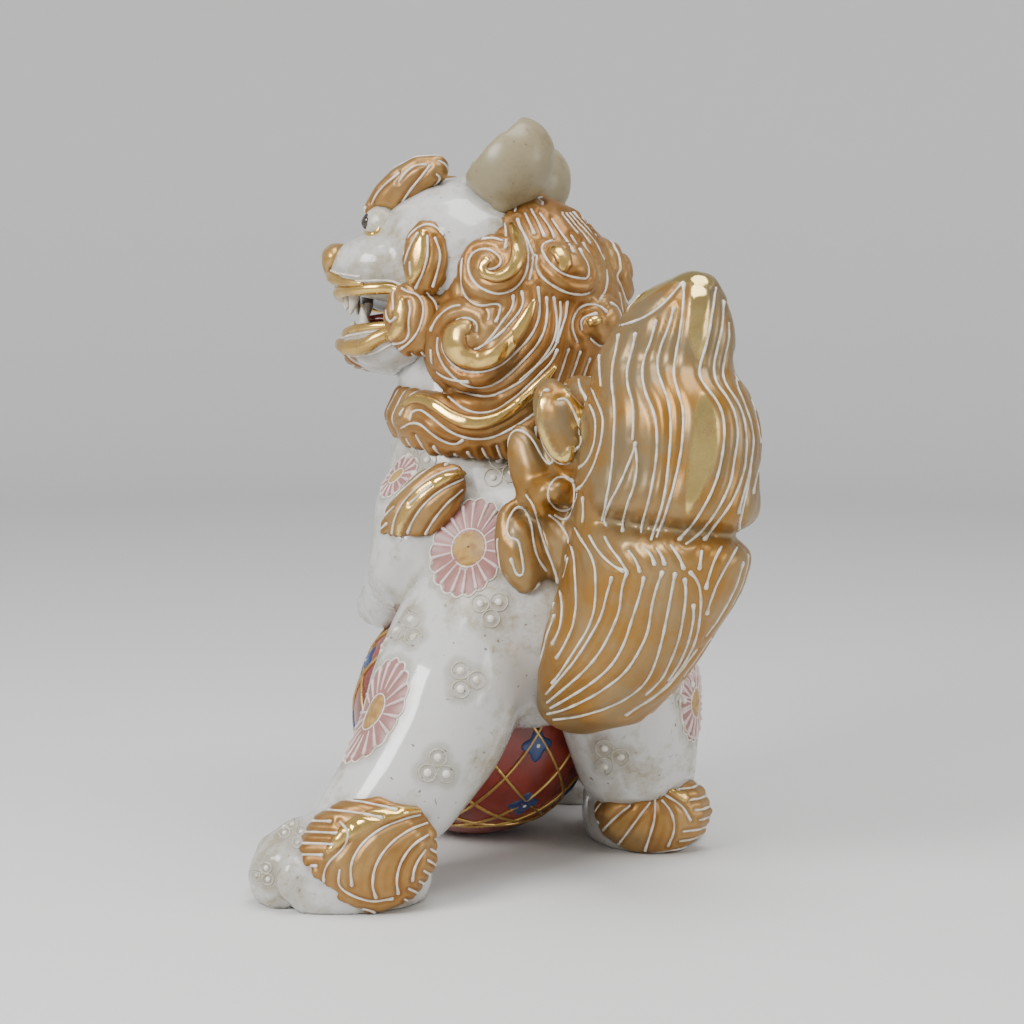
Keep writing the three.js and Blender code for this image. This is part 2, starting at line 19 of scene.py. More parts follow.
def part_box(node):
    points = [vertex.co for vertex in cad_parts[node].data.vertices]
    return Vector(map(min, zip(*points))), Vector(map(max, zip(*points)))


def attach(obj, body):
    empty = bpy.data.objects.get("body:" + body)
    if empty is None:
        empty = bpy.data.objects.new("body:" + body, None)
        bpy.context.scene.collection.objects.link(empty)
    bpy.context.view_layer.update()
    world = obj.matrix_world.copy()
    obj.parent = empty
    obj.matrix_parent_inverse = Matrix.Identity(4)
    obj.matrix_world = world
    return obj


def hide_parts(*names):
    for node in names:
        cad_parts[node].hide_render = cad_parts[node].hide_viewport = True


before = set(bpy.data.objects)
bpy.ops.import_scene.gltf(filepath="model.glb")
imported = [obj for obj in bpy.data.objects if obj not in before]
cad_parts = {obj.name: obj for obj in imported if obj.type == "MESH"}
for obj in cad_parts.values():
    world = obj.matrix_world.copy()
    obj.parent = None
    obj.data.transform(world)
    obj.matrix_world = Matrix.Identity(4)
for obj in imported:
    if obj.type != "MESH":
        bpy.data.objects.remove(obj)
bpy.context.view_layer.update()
MM = 0.001
rng = np.random.default_rng(7)
print("castings in the frame:", len(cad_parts))

# %% [markdown]
# Lengths below are in millimetres from the point between the dog's hind legs, with +X on its left, -Y in
# front and +Z up. The ball is the easiest casting to measure from, because its centre is known exactly.

# %% The workbench origin
UP = np.array((0.0, 0.0, 1.0))
BALL_CENTRE = np.array([-4.0, -61.0, 52.8])
ball_low, ball_high = (np.array(c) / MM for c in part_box("brocade_ball"))
BALL_RADIUS = (ball_high[0] - ball_low[0]) / 2
ball_middle = (ball_low + ball_high) / 2
ball_middle[2] = BALL_CENTRE[2]
bench = ball_middle - BALL_CENTRE
print("bench origin in the frame, mm:", np.round(bench, 2), "ball radius", round(float(BALL_RADIUS), 2))

# %% [markdown]
# Three small helpers are used all through. `unit` makes a direction one long. `ease` is a soft switch that
# goes from 0 to 1 between two values, because clay has no sharp steps. `spread_over` reads a short list of
# widths as a smooth profile along a stroke.

# %% Small helpers
def unit(v):
    v = np.asarray(v, float)
    return v / max(1e-12, np.linalg.norm(v))


def ease(x, low, high):
    t = np.clip((np.asarray(x, float) - low) / (high - low), 0, 1)
    return t * t * (3 - 2 * t)


def spread_over(count, values, at=None):
    at = np.linspace(0, 1, len(values)) if at is None else at
    return np.interp(np.linspace(0, 1, count), at, values)


print("a half-way ease:", ease(0.5, 0, 1), "a spread of 3:", spread_over(3, (0, 1)))

# %% [markdown]
# ## Skins
# A skin is a fine mesh held as arrays, so clay can be pushed about with arithmetic. `fused` takes castings
# from the frame, swells them until they meet, and wraps them in one voxel skin. Relaxing that skin does what
# wet slip and a thick glaze do: it fills the joints and rounds every edge.

# %% Arrays of a mesh
class Skin:
    def __init__(self, verts, faces):
        self.v = np.asarray(verts, float)
        self.f = np.asarray(faces, int)
        pairs = np.vstack([self.f[:, [i, (i + 1) % self.f.shape[1]]] for i in range(self.f.shape[1])])
        pairs.sort(axis=1)
        self.e = np.unique(pairs, axis=0)
        self.degree = np.maximum(1, np.bincount(self.e.ravel(), minlength=len(self.v)))[:, None]
        self.refresh()

    def mean_of_neighbours(self, values):
        a, b = self.e.T
        total = np.empty_like(values)
        for k in range(values.shape[1]):
            total[:, k] = np.bincount(a, values[b, k], len(self.v))
            total[:, k] += np.bincount(b, values[a, k], len(self.v))
        return total / self.degree

    def relax(self, times, share=1.0):
        """Evens the clay without shrinking it: each pass in is followed by a slightly longer pass out."""
        share = np.broadcast_to(share, len(self.v))[:, None]
        for _ in range(times):
            for step in (0.55, -0.57):
                self.v = self.v + share * step * (self.mean_of_neighbours(self.v) - self.v)
        self.refresh()
        return self

    def soften(self, times, share=1.0):
        """Melts facets away, then lifts the whole surface back to where it stood on average."""
        before = self.v.copy()
        share = np.broadcast_to(share, len(self.v))[:, None]
        for _ in range(times):
            self.v = self.v + share * 0.5 * (self.mean_of_neighbours(self.v) - self.v)
        self.refresh()
        lift = ((before - self.v) * self.n).sum(axis=1)[:, None]
        for _ in range(times):
            lift = lift + 0.5 * (self.mean_of_neighbours(lift) - lift)
        return self.push(lift[:, 0])

    def refresh(self):
        p = self.v[self.f]
        cross = np.cross(p[:, 2] - p[:, 0], p[:, -1] - p[:, 1])
        n = np.zeros_like(self.v)
        for k in range(3):
            for i in range(self.f.shape[1]):
                n[:, k] += np.bincount(self.f[:, i], cross[:, k], len(self.v))
        self.n = n / np.maximum(1e-12, np.linalg.norm(n, axis=1))[:, None]
        self.tree = None
        return self

    def push(self, amount):
        self.v = self.v + self.n * np.asarray(amount)[:, None]
        return self.refresh()

    def nearest(self, point):
        if self.tree is None:
            self.tree = BVHTree.FromPolygons(self.v.tolist(), self.f.tolist())
        spot, _, face, _ = self.tree.find_nearest(Vector(point))
        return np.array(spot), unit(self.n[self.f[face]].mean(axis=0))

    def hollows(self, reach=6):
        """0 on open ground, towards 1 in creases, where glaze pools and dirt stays, and where shade is
        painted.
        """
        bend = ((self.mean_of_neighbours(self.v) - self.v) * self.n).sum(axis=1)[:, None]
        for _ in range(reach):
            bend = self.mean_of_neighbours(bend)
        return bend[:, 0]


print("a skin is held as points, faces and edges")

# %% [markdown]
# Wet joints are wiped smooth by hand. The wrap copies that: each casting is read from the frame, its shared
# corners are joined, it swells a little so that it closes the luting gap, and one voxel skin goes over them
# all. Loose crumbs that the wrap leaves inside are dropped, so that only the largest body of clay stays.

# %% Wrap castings in one skin
SAME_CORNER = 2e-6


def as_arrays(mesh):
    verts = np.empty(len(mesh.vertices) * 3)
    mesh.vertices.foreach_get("co", verts)
    corners = np.array([p.vertices[:] for p in mesh.polygons if len(p.vertices) == 4], int)
    return verts.reshape(-1, 3) / MM, corners


def gathered(nodes, swell):
    """One loose mesh of the castings, each swollen by the same few tenths of a millimetre."""
    bm = bmesh.new()
    for node in nodes:
        part = bmesh.new()
        part.from_mesh(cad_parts[node].data)
        bmesh.ops.remove_doubles(part, verts=part.verts, dist=SAME_CORNER)
        bmesh.ops.recalc_face_normals(part, faces=part.faces)
        part.normal_update()
        for vert in part.verts:
            vert.co += vert.normal * swell * MM
        lump = bpy.data.meshes.new("lump")
        part.to_mesh(lump)
        part.free()
        bm.from_mesh(lump)
        bpy.data.meshes.remove(lump)
    mesh = bpy.data.meshes.new("clay")
    bm.to_mesh(mesh)
    bm.free()
    return mesh


def largest_body(verts, faces):
    """Each point takes the lowest number that it can reach, so points of one body end up alike."""
    label = np.arange(len(verts))
    sides = np.vstack([faces[:, [0, 1]], faces[:, [1, 2]], faces[:, [2, 3]]])
    before = None
    while before is None or (label != before).any():
        before = label.copy()
        np.minimum.at(label, sides[:, 0], label[sides[:, 1]])
        np.minimum.at(label, sides[:, 1], label[sides[:, 0]])
        label = label[label]
    kept = label == np.bincount(label).argmax()
    number = np.cumsum(kept) - 1
    return verts[kept], number[faces[kept[faces[:, 0]]]]


def fused(nodes, voxel, swell=0.4):
    mesh = gathered(nodes, swell)
    obj = bpy.data.objects.new("clay", mesh)
    bpy.context.scene.collection.objects.link(obj)
    wrap = obj.modifiers.new("wrap", "REMESH")
    wrap.mode = "VOXEL"
    wrap.voxel_size = voxel * MM
    done = obj.evaluated_get(bpy.context.evaluated_depsgraph_get())
    verts, faces = as_arrays(done.to_mesh())
    bpy.data.objects.remove(obj)
    bpy.data.meshes.remove(mesh)
    verts, faces = largest_body(verts, faces)
    return Skin(verts - bench, faces)


print("skins are wrapped in millimetres from the bench")

# %% [markdown]
# ## Beads, locks and bosses
# Three shapes make all the ornament. A bead is a round thread of enamel along a line. A lock is a flattened
# ridge with its own width and height at each step, such as one hair curl. A boss is a domed disc with any
# outline, such as a knot. Each is drawn on a flat board that is laid against a skin, and every point is
# carried to the nearest place on that skin, so ornament hugs the clay.

# %% A drawing board on a skin
class Board:
    def __init__(self, skin, centre, up=(0, 0, 1), outward=None):
        self.skin = skin
        self.at, normal = skin.nearest(centre)
        self.out = unit(outward) if outward is not None else normal
        self.right = unit(np.cross(up, self.out))
        self.up = np.cross(self.out, self.right)

    def follow(self, x, y, first=False):
        """A flat board needs no memory of depth. A sight board, further down, does."""

    def carry(self, x, y):
        return self.skin.nearest(self.at + self.right * x + self.up * y)


print("a board carries a mark to a skin")

# %% [markdown]
# Hundreds of beads would be slow as separate objects, so a heap gathers all of one colour into one mesh. Each
# shape brings a tone, a number from 0 to 1 that the finish reads as how far the spot was polished.

# %% Gather small shapes
class Heap:

    def __init__(self):
        self.v, self.f, self.tone, self.count = [], [], [], 0

    def add(self, verts, faces, tone=0.0):
        self.v.append(np.asarray(verts, float))
        self.f += [tuple(int(i) + self.count for i in face) for face in faces]
        self.tone.append(np.broadcast_to(tone, len(verts)))
        self.count += len(verts)


def ring_faces(rings, around, closed_ends=True):
    faces = []
    for r in range(rings - 1):
        for i in range(around):
            j = (i + 1) % around
            low, high = r * around, (r + 1) * around
            faces.append((low + i, low + j, high + j, high + i))
    if closed_ends:
        faces.append(tuple(range(around))[::-1])
        faces.append(tuple((rings - 1) * around + i for i in range(around)))
    return faces


print("faces between two rings of six:", len(ring_faces(2, 6, False)))

# %% [markdown]
# Enamel is piped from a bag with a fine nozzle. The thread sinks a little into the glaze, stands up round,
# and ends in a blunt tip, so each bead is a tube with a smaller ring just past each end.

# %% Pipe a bead
TIP_REACH = 0.75
TIP_SIZE = 0.55


def bead(heap, points, normals, radius, tone=0.0, sides=6, lift=0.25):
    """A round bead along points on a skin. radius may change from end to end."""
    points, normals = np.asarray(points, float), np.asarray(normals, float)
    if len(points) < 2:
        return
    radius = np.broadcast_to(radius, len(points)).astype(float)
    along = np.gradient(points, axis=0)
    along /= np.maximum(1e-9, np.linalg.norm(along, axis=1))[:, None]
    first = points[0] - along[0] * radius[0] * TIP_REACH
    last = points[-1] + along[-1] * radius[-1] * TIP_REACH
    points = np.vstack([first, points, last])
    normals = np.vstack([normals[0], normals, normals[-1]])
    along = np.vstack([along[0], along, along[-1]])
    radius = np.concatenate([[radius[0] * TIP_SIZE], radius, [radius[-1] * TIP_SIZE]])
    side = np.cross(along, normals)
    side /= np.maximum(1e-9, np.linalg.norm(side, axis=1))[:, None]
    top = np.cross(side, along)
    turn = np.linspace(0, 2 * math.pi, sides, endpoint=False)
    ring = (points[:, None] + top[:, None] * (lift * radius)[:, None, None]
            + side[:, None] * (np.cos(turn)[None, :, None] * radius[:, None, None])
            + top[:, None] * (np.sin(turn)[None, :, None] * radius[:, None, None]))
    heap.add(ring.reshape(-1, 3), ring_faces(len(points), sides), tone)


DOME = ((-0.4, 0.95), (0.1, 1.0), (0.5, 0.85), (0.85, 0.5), (0.98, 0.18))
DROP_SIDES = 8


def blob(heap, board, x, y, radius, tone=0.0, flat=0.7):
    """A drop of enamel that set as a low dome."""
    spot, n = board.carry(x, y)
    a = unit(board.right - n * np.dot(board.right, n))
    b = np.cross(n, a)
    rows = []
    for height, spread in DOME:
        for t in np.arange(DROP_SIDES) * 2 * math.pi / DROP_SIDES:
            out = a * math.cos(t) + b * math.sin(t)
            rows.append(spot + out * radius * spread + n * height * radius * flat)
    heap.add(rows, ring_faces(len(DOME), DROP_SIDES), tone)


print("a bead is 6-sided, a drop is", DROP_SIDES, "sided with", len(DOME), "rings")

# %% [markdown]
# A lock is a roll of clay pressed down with a thumb. Across, it's half of a flattened circle, and its two
# lower edges are tucked under the skin so that no light shows between them.

# %% Roll a lock
def lock(heap, board, spine, width, height, across=8, sink=1.2):
    """A flattened ridge along a spine drawn on the board. It's polished along its top."""
    spine = np.asarray(spine, float)
    count = len(spine)
    width, height = (np.broadcast_to(w, count).astype(float) for w in (width, height))
    along = np.gradient(spine, axis=0)
    along /= np.maximum(1e-9, np.linalg.norm(along, axis=1))[:, None]
    side = np.stack([along[:, 1], -along[:, 0]], axis=1)
    verts, tones = [], []
    for i in range(count):
        board.follow(*spine[i])
        for k in range(across + 1):
            t = math.pi * k / across
            x, y = spine[i] + side[i] * width[i] * math.cos(t)
            spot, n = board.carry(x, y)
            verts.append(spot + n * (height[i] * math.sin(t) ** 0.8 - 0.25))
            tones.append(math.sin(t) ** 1.5)
        for k in (across - 1, 1):
            t = math.pi * k / across
            x, y = spine[i] + side[i] * width[i] * 0.8 * math.cos(t)
            spot, n = board.carry(x, y)
            verts.append(spot - n * sink)
            tones.append(0.0)
    heap.add(verts, ring_faces(count, across + 3), np.array(tones))


print("a lock has", 8 + 3, "points across")

# %% [markdown]
# A boss is a flat pat of clay or enamel with any outline. Rings of points run from its middle to its rim,
# and a last, smaller ring closes it underneath.

# %% Press a boss
def boss(heap, board, outline, height, rings, spokes, sink=1.0):
    """A domed disc. outline(angle) is its radius and height(share) its rise at a share of that."""
    spot, n = board.carry(0, 0)
    verts = [spot + n * height(0.0)]
    for r in range(1, rings + 1):
        share = r / rings
        for i in range(spokes):
            angle = 2 * math.pi * i / spokes
            reach = outline(angle) * share
            spot, n = board.carry(reach * math.cos(angle), reach * math.sin(angle))
            verts.append(spot + n * (height(share) - (0.35 if r == rings else 0)))
    for i in range(spokes):
        angle = 2 * math.pi * i / spokes
        reach = outline(angle) * 0.9
        spot, n = board.carry(reach * math.cos(angle), reach * math.sin(angle))
        verts.append(spot - n * sink)
    faces = [(0, 1 + i, 1 + (i + 1) % spokes) for i in range(spokes)]
    for r in range(rings):
        for i in range(spokes):
            j = (i + 1) % spokes
            a, b = 1 + r * spokes, 1 + (r + 1) * spokes
            faces.append((a + i, b + i, b + j, a + j))
    last = 1 + rings * spokes
    faces.append(tuple(last + i for i in range(spokes))[::-1])
    heap.add(verts, faces)


print("bosses are domes on a closed underside")

# %% [markdown]
# ## Lines that follow a flow
# The painter's white lines run with the locks. If every point of a skin has a number that grows by one from
# lock to lock, the lines are simply where that number is whole. The number may wind round a spiral and come
# back one higher: the lines still join, because only whole steps are lost.

# %% Find where the number is whole
SHARE_STEPS = 500


def whole_crossings(skin, flow):
    """Links each crossed edge of the skin to the next one along the same line."""
    tris = np.vstack([skin.f[:, [0, 1, 2]], skin.f[:, [0, 2, 3]]])
    value = flow[tris].copy()
    value[:, 1:] += np.round(value[:, :1] - value[:, 1:])
    links, place = {}, {}
    low, high = value.min(axis=1), value.max(axis=1)
    for t in np.flatnonzero(np.ceil(low) <= high):
        level = math.ceil(low[t])
        cut = []
        for i in range(3):
            j = (i + 1) % 3
            a, b = tris[t, i], tris[t, j]
            fa, fb = value[t, i] - level, value[t, j] - level
            if (fa < 0) != (fb < 0):
                share = fa / (fa - fb)
                if a > b:
                    a, b, share = b, a, 1 - share
                key = (a, b, round(share * SHARE_STEPS))
                place[key] = share
                cut.append(key)
        if len(cut) == 2 and cut[0] != cut[1]:
            links.setdefault(cut[0], []).append(cut[1])
            links.setdefault(cut[1], []).append(cut[0])
    return links, place


def walked(links):
    """Walks from crossing to crossing, starting at the loose ends. Each path is one painted line."""
    used = set()
    for start in [k for k in links if len(links[k]) == 1] + list(links):
        if start in used:
            continue
        path, here, before = [start], start, None
        used.add(start)
        while True:
            ahead = [k for k in links[here] if k != before and k not in used]
            if not ahead:
                break
            before, here = here, ahead[0]
            used.add(here)
            path.append(here)
        yield path


print("whole-number lines are found in", SHARE_STEPS, "steps along an edge")

# %% [markdown]
# A hand doesn't jitter as a mesh does. Each line is smoothed a little, given evenly spaced points, and broken
# where it leaves the ground that it's wanted on. `pipe_lines` then lets the thread swell and thin slightly,
# and ends it in the drop that stays behind when the nozzle is lifted.

# %% Smooth the lines and pipe them
def whole_lines(skin, flow, keep, shortest, step=1.3):
    links, place = whole_crossings(skin, flow)
    lines = []
    for path in walked(links):
        a = np.array([k[0] for k in path])
        b = np.array([k[1] for k in path])
        s = np.array([place[k] for k in path])[:, None]
        p = skin.v[a] * (1 - s) + skin.v[b] * s
        n = skin.n[a] * (1 - s) + skin.n[b] * s
        for _ in range(4):
            if len(p) > 2:
                p[1:-1] = (p[:-2] + p[1:-1] * 2 + p[2:]) / 4
                n[1:-1] = (n[:-2] + n[1:-1] * 2 + n[2:]) / 4
        run = np.concatenate([[0], np.cumsum(np.linalg.norm(np.diff(p, axis=0), axis=1))])
        if run[-1] < shortest:
            continue
        at = np.linspace(0, run[-1], max(3, int(run[-1] / step)))
        p = np.stack([np.interp(at, run, p[:, k]) for k in range(3)], axis=1)
        n = np.stack([np.interp(at, run, n[:, k]) for k in range(3)], axis=1)
        edges = np.flatnonzero(np.diff(np.concatenate([[0], keep(p).astype(int), [0]])))
        for first, last in zip(edges[::2], edges[1::2]):
            if (last - first) * step >= shortest:
                lines.append((p[first:last], n[first:last]))
    return lines


def pipe_lines(heap, lines, radius, drop):
    for p, n in lines:
        r = radius * (1 + 0.12 * np.sin(np.arange(len(p)) * 0.9 + rng.uniform(0, 6)))
        if len(p) > 5:
            r[-1], r[-2] = drop, (radius + drop) / 2
        bead(heap, p, n, r)


print("lines shorter than they should be are dropped, and the rest are piped")

# %% [markdown]
# ## Finishes
# Glaze is a clear glass over white clay. Its colour changes with dirt and painted shade in the creases, olive
# stains where it crazed, and pepper-fine iron specks, all driven by noise and by a stored number for how
# hollow the spot is.
# Gold lustre is a film of metal a few hundred atoms thick: bright where fingers polished it, and bright as a
# painted highlight on pillow crowns and lit bands, amber and half-matt elsewhere. Each number that is the
# same all over goes straight into the shader.

# %% Material helpers
def finish(name, rough=0.2, metal=0.0, coat=0.0, coat_rough=0.05, ior=1.5):
    m = bpy.data.materials.new(name)
    m.use_nodes = True
    shader = m.node_tree.nodes["Principled BSDF"]
    shader.inputs["Roughness"].default_value = rough
    shader.inputs["Metallic"].default_value = metal
    shader.inputs["Coat Weight"].default_value = coat
    shader.inputs["Coat Roughness"].default_value = coat_rough
    shader.inputs["IOR"].default_value = ior
    return m, m.node_tree, shader


def noise(tree, scale, detail=4.0, rough=0.55, where=None):
    if where is None:
        where = tree.nodes.get("spot") or tree.nodes.new("ShaderNodeTexCoord")
        where.name = "spot"
    n = tree.nodes.new("ShaderNodeTexNoise")
    n.inputs["Scale"].default_value = scale
    n.inputs["Detail"].default_value = detail
    n.inputs["Roughness"].default_value = rough
    tree.links.new(where.outputs["Object"], n.inputs["Vector"])
    return n.outputs["Fac"]


def ramp(tree, fac, low, high, start=0.0, end=1.0):
    r = tree.nodes.new("ShaderNodeMapRange")
    r.interpolation_type = "SMOOTHSTEP"
    for key, value in (("From Min", low), ("From Max", high), ("To Min", start), ("To Max", end)):
        r.inputs[key].default_value = value
    tree.links.new(fac, r.inputs["Value"])
    return r.outputs["Result"]


def stored(tree, name):
    a = tree.nodes.new("ShaderNodeAttribute")
    a.attribute_name = name
    return a.outputs["Fac"]


def combine(tree, kind, a, b):
    m = tree.nodes.new("ShaderNodeMath")
    m.operation = kind
    m.use_clamp = True
    for socket, value in zip(m.inputs, (a, b)):
        if isinstance(value, (int, float)):
            socket.default_value = value
        else:
            tree.links.new(value, socket)
    return m.outputs[0]


def tint(tree, fac, a, b):
    m = tree.nodes.new("ShaderNodeMix")
    m.data_type = "RGBA"
    tree.links.new(fac, m.inputs["Factor"])
    for socket, value in ((m.inputs["A"], a), (m.inputs["B"], b)):
        if isinstance(value, tuple):
            socket.default_value = (*value, 1)
        else:
            tree.links.new(value, socket)
    return m.outputs["Result"]


def texture_bump(tree, shader, height, strength=0.2, distance=0.0004):
    b = tree.nodes.new("ShaderNodeBump")
    b.inputs["Strength"].default_value = strength
    b.inputs["Distance"].default_value = distance
    tree.links.new(height, b.inputs["Height"])
    tree.links.new(b.outputs["Normal"], shader.inputs["Normal"])


print("helpers ready: every one adds a node and hands back its socket")

# %% [markdown]
# The glaze starts clean. Over it come faint grey clouds, an olive stain in worn patches, brown dirt and
# painted shade where the stored number says that the spot is hollow, and iron specks. The inside of the mouth
# is painted almost black as shade, and its place is stored as `ridge`, a number that the white glaze doesn't
# need for polish.

# %% White glaze, dirty in the creases
SPECK_BROWN = (0.10, 0.065, 0.035)
MOUTH_SHADE = (0.022, 0.010, 0.007)


def make_glaze(name, clean, stain, dirt_and_shade, dullness=0.13, coat=0.6):
    m, tree, shader = finish(name, rough=0.16, coat=coat, coat_rough=0.04)
    patches = ramp(tree, noise(tree, 30, 6, 0.68), 0.45, 0.58)
    fine = ramp(tree, noise(tree, 210, 3, 0.7), 0.38, 0.64, 0.45, 1.0)
    worn = combine(tree, "MULTIPLY", patches, fine)
    creases = ramp(tree, stored(tree, "hollow"), 0.25, 0.95)
    creases = combine(tree, "MULTIPLY", creases, ramp(tree, noise(tree, 90, 3), 0.30, 0.62, 0.45, 1.0))
    grey = tint(tree, noise(tree, 14, 3), clean, tuple(c * 0.80 for c in clean))
    colour = tint(tree, combine(tree, "MULTIPLY", worn, 0.78), grey, stain)
    # Brown in the creases: dirt, and painted shade where the creases would fall dark.
    colour = tint(tree, combine(tree, "MULTIPLY", creases, 0.85), colour, dirt_and_shade)
    specks = ramp(tree, noise(tree, 420, 1.5, 0.5), 0.715, 0.75)
    colour = tint(tree, combine(tree, "MULTIPLY", specks, 0.75), colour, SPECK_BROWN)
    # The inside of the mouth is painted almost black: painted shade.
    mouth = ramp(tree, stored(tree, "ridge"), 0.1, 0.9)
    colour = tint(tree, mouth, colour, MOUTH_SHADE)
    tree.links.new(colour, shader.inputs["Base Color"])
    dull_worn, dull_creases = combine(tree, "MULTIPLY", worn, 0.30), combine(tree, "MULTIPLY", creases, 0.35)
    dull = combine(tree, "MAXIMUM", dull_worn, dull_creases)
    tree.links.new(combine(tree, "ADD", dull, dullness), shader.inputs["Roughness"])
    texture_bump(tree, shader, noise(tree, 45, 4, 0.5), 0.12, 0.0012)
    return m


white_glaze = make_glaze("white_porcelain_glaze", clean=(0.60, 0.592, 0.57), stain=(0.27, 0.22, 0.12),
                         dirt_and_shade=(0.20, 0.155, 0.085))
ear_glaze = make_glaze("olive_worn_glaze", clean=(0.28, 0.235, 0.135), stain=(0.19, 0.145, 0.075),
                       dirt_and_shade=(0.13, 0.09, 0.05), dullness=0.34, coat=0.1)
print("glazes:", white_glaze.name, ear_glaze.name)

# %% [markdown]
# Gold lustre goes on last and thinnest. Where hands rubbed it, it's bright and nearly a mirror. The same
# bright colour is also a painted highlight on the crown of each pillow and along two lit bands of the tail.
# Elsewhere it stays brown and half-matt, with dust and painted shade in the hollows and a smoky patch here
# and there. The top of the tail is duller and greyer than its foot, so the tail has a gold of its own.

# %% Gold lustre over the glaze
DULL_GREY = (0.20, 0.155, 0.085)
DULL_BLEND = 0.04
DUST_AND_SHADE_BROWN = (0.24, 0.18, 0.10)
SMOKE_GREY = (0.13, 0.11, 0.08)
UNRUBBED_METAL_LOSS = 0.35


def mapped(tree, fac, low, high, socket):
    node = tree.nodes.new("ShaderNodeMapRange")
    node.inputs["To Min"].default_value = low
    node.inputs["To Max"].default_value = high
    tree.links.new(fac, node.inputs["Value"])
    tree.links.new(node.outputs["Result"], socket)


def make_gold(name, deep, mid, bright, rough_low, rough_high, metal, dulled_above=None):
    m, tree, shader = finish(name, rough=0.35, metal=metal)
    rub_and_highlight = ramp(tree, stored(tree, "ridge"), 0.35, 0.95)
    cloud = ramp(tree, noise(tree, 38, 5, 0.65), 0.35, 0.68)
    base = tint(tree, cloud, deep, mid)
    if dulled_above:
        place = tree.nodes.new("ShaderNodeSeparateXYZ")
        tree.links.new(tree.nodes["spot"].outputs["Object"], place.inputs["Vector"])
        high = ramp(tree, place.outputs["Z"], dulled_above, dulled_above + DULL_BLEND, 0.0, 0.75)
        base = tint(tree, combine(tree, "MULTIPLY", high, cloud), base, DULL_GREY)
    # Bright gold: rubbed polish, and on pillow crowns and the tail's lit bands a painted highlight.
    polish_and_highlight = combine(tree, "MULTIPLY", rub_and_highlight, ramp(tree, noise(tree, 60, 4, 0.6), 0.32, 0.55, 0.35, 1.0))
    colour = tint(tree, polish_and_highlight, base, bright)
    # Brown in the hollows: dust, and painted shade where the hollows would fall dark.
    dust_and_shade = combine(tree, "MULTIPLY", ramp(tree, stored(tree, "hollow"), 0.15, 0.9), 0.7)
    colour = tint(tree, dust_and_shade, colour, DUST_AND_SHADE_BROWN)
    smoke = ramp(tree, noise(tree, 17, 3, 0.5), 0.58, 0.78, 0.0, 0.5)
    colour = tint(tree, smoke, colour, SMOKE_GREY)
    tree.links.new(colour, shader.inputs["Base Color"])
    mapped(tree, polish_and_highlight, rough_high, rough_low, shader.inputs["Roughness"])
    mapped(tree, polish_and_highlight, metal - UNRUBBED_METAL_LOSS, 0.98, shader.inputs["Metallic"])
    texture_bump(tree, shader, noise(tree, 320, 3, 0.6), 0.16, 0.0003)
    return m


gold = make_gold("gold_lustre", deep=(0.25, 0.105, 0.020), mid=(0.33, 0.19, 0.068), bright=(0.80, 0.54, 0.17),
                 rough_low=0.12, rough_high=0.40, metal=0.9)
tail_gold = make_gold("tail_gold_lustre", deep=(0.30, 0.14, 0.020), mid=(0.30, 0.195, 0.082),
                      bright=(0.74, 0.54, 0.19), rough_low=0.12, rough_high=0.36, metal=0.9,
                      dulled_above=0.14)
print("golds:", gold.name, tail_gold.name)

# %% [markdown]
# Enamels are ground glass and colour, fired cooler than the glaze. They are chalky and a little uneven, so
# each is a mottle of two near colours with a fine bump. Only the eyes, the ball and the ivory rings shine.

# %% Enamels
def make_enamel(name, colour, shade, rough=0.35, scale=260, coat=0.0):
    m, tree, shader = finish(name, rough=rough, coat=coat)
    mottled = tint(tree, ramp(tree, noise(tree, scale, 4, 0.6), 0.35, 0.70), colour, shade)
    tree.links.new(mottled, shader.inputs["Base Color"])
    texture_bump(tree, shader, noise(tree, scale * 2, 3, 0.6), 0.15, 0.0003)
    return m


white_enamel = make_enamel("raised_white_enamel", (0.76, 0.73, 0.66), (0.52, 0.46, 0.35))
ivory_enamel = make_enamel("raised_ivory_enamel", (0.50, 0.48, 0.41), (0.40, 0.36, 0.27), rough=0.25)
pink_enamel = make_enamel("dusty_pink_enamel", (0.33, 0.15, 0.14), (0.27, 0.145, 0.12))
petal_enamel = make_enamel("pale_pink_petal_enamel", (0.66, 0.52, 0.50), (0.54, 0.40, 0.37))
flower_gold = make_enamel("matt_flower_gold", (0.42, 0.26, 0.075), (0.27, 0.14, 0.04), rough=0.38)
red_glaze = make_enamel("iron_red_glaze", (0.24, 0.028, 0.018), (0.12, 0.018, 0.012), rough=0.24, scale=40,
                        coat=0.15)
blue_glaze = make_enamel("cobalt_blue_enamel", (0.03, 0.06, 0.17), (0.02, 0.03, 0.10), rough=0.2, scale=60)
black_glaze = make_enamel("black_eye_glaze", (0.02, 0.015, 0.012), (0.05, 0.035, 0.02), rough=0.08, coat=0.6)
print("finishes mixed:", len(bpy.data.materials))

# %% [markdown]
# ## From arrays to pieces
# A piece is named, given its finish, told which casting of the frame it stands for, and rides on the one
# body, since nothing on a fired figure moves. `ridge` and `hollow` are stored on its points for the finishes.
# Where no hollows are given they're measured from how far each point lies below its neighbours.

# %% Make a piece
STRONGEST = 98


def dirt_and_shade_of(skin):
    """0 on open ground and 1 in the deepest creases. A few odd points don't set the scale."""
    bend = skin.hollows()
    return np.clip(bend / np.percentile(np.abs(bend), STRONGEST), 0, 1)


def turned_outwards(mesh):
    loose = bmesh.new()
    loose.from_mesh(mesh)
    bmesh.ops.recalc_face_normals(loose, faces=loose.faces)
    loose.to_mesh(mesh)
    loose.free()


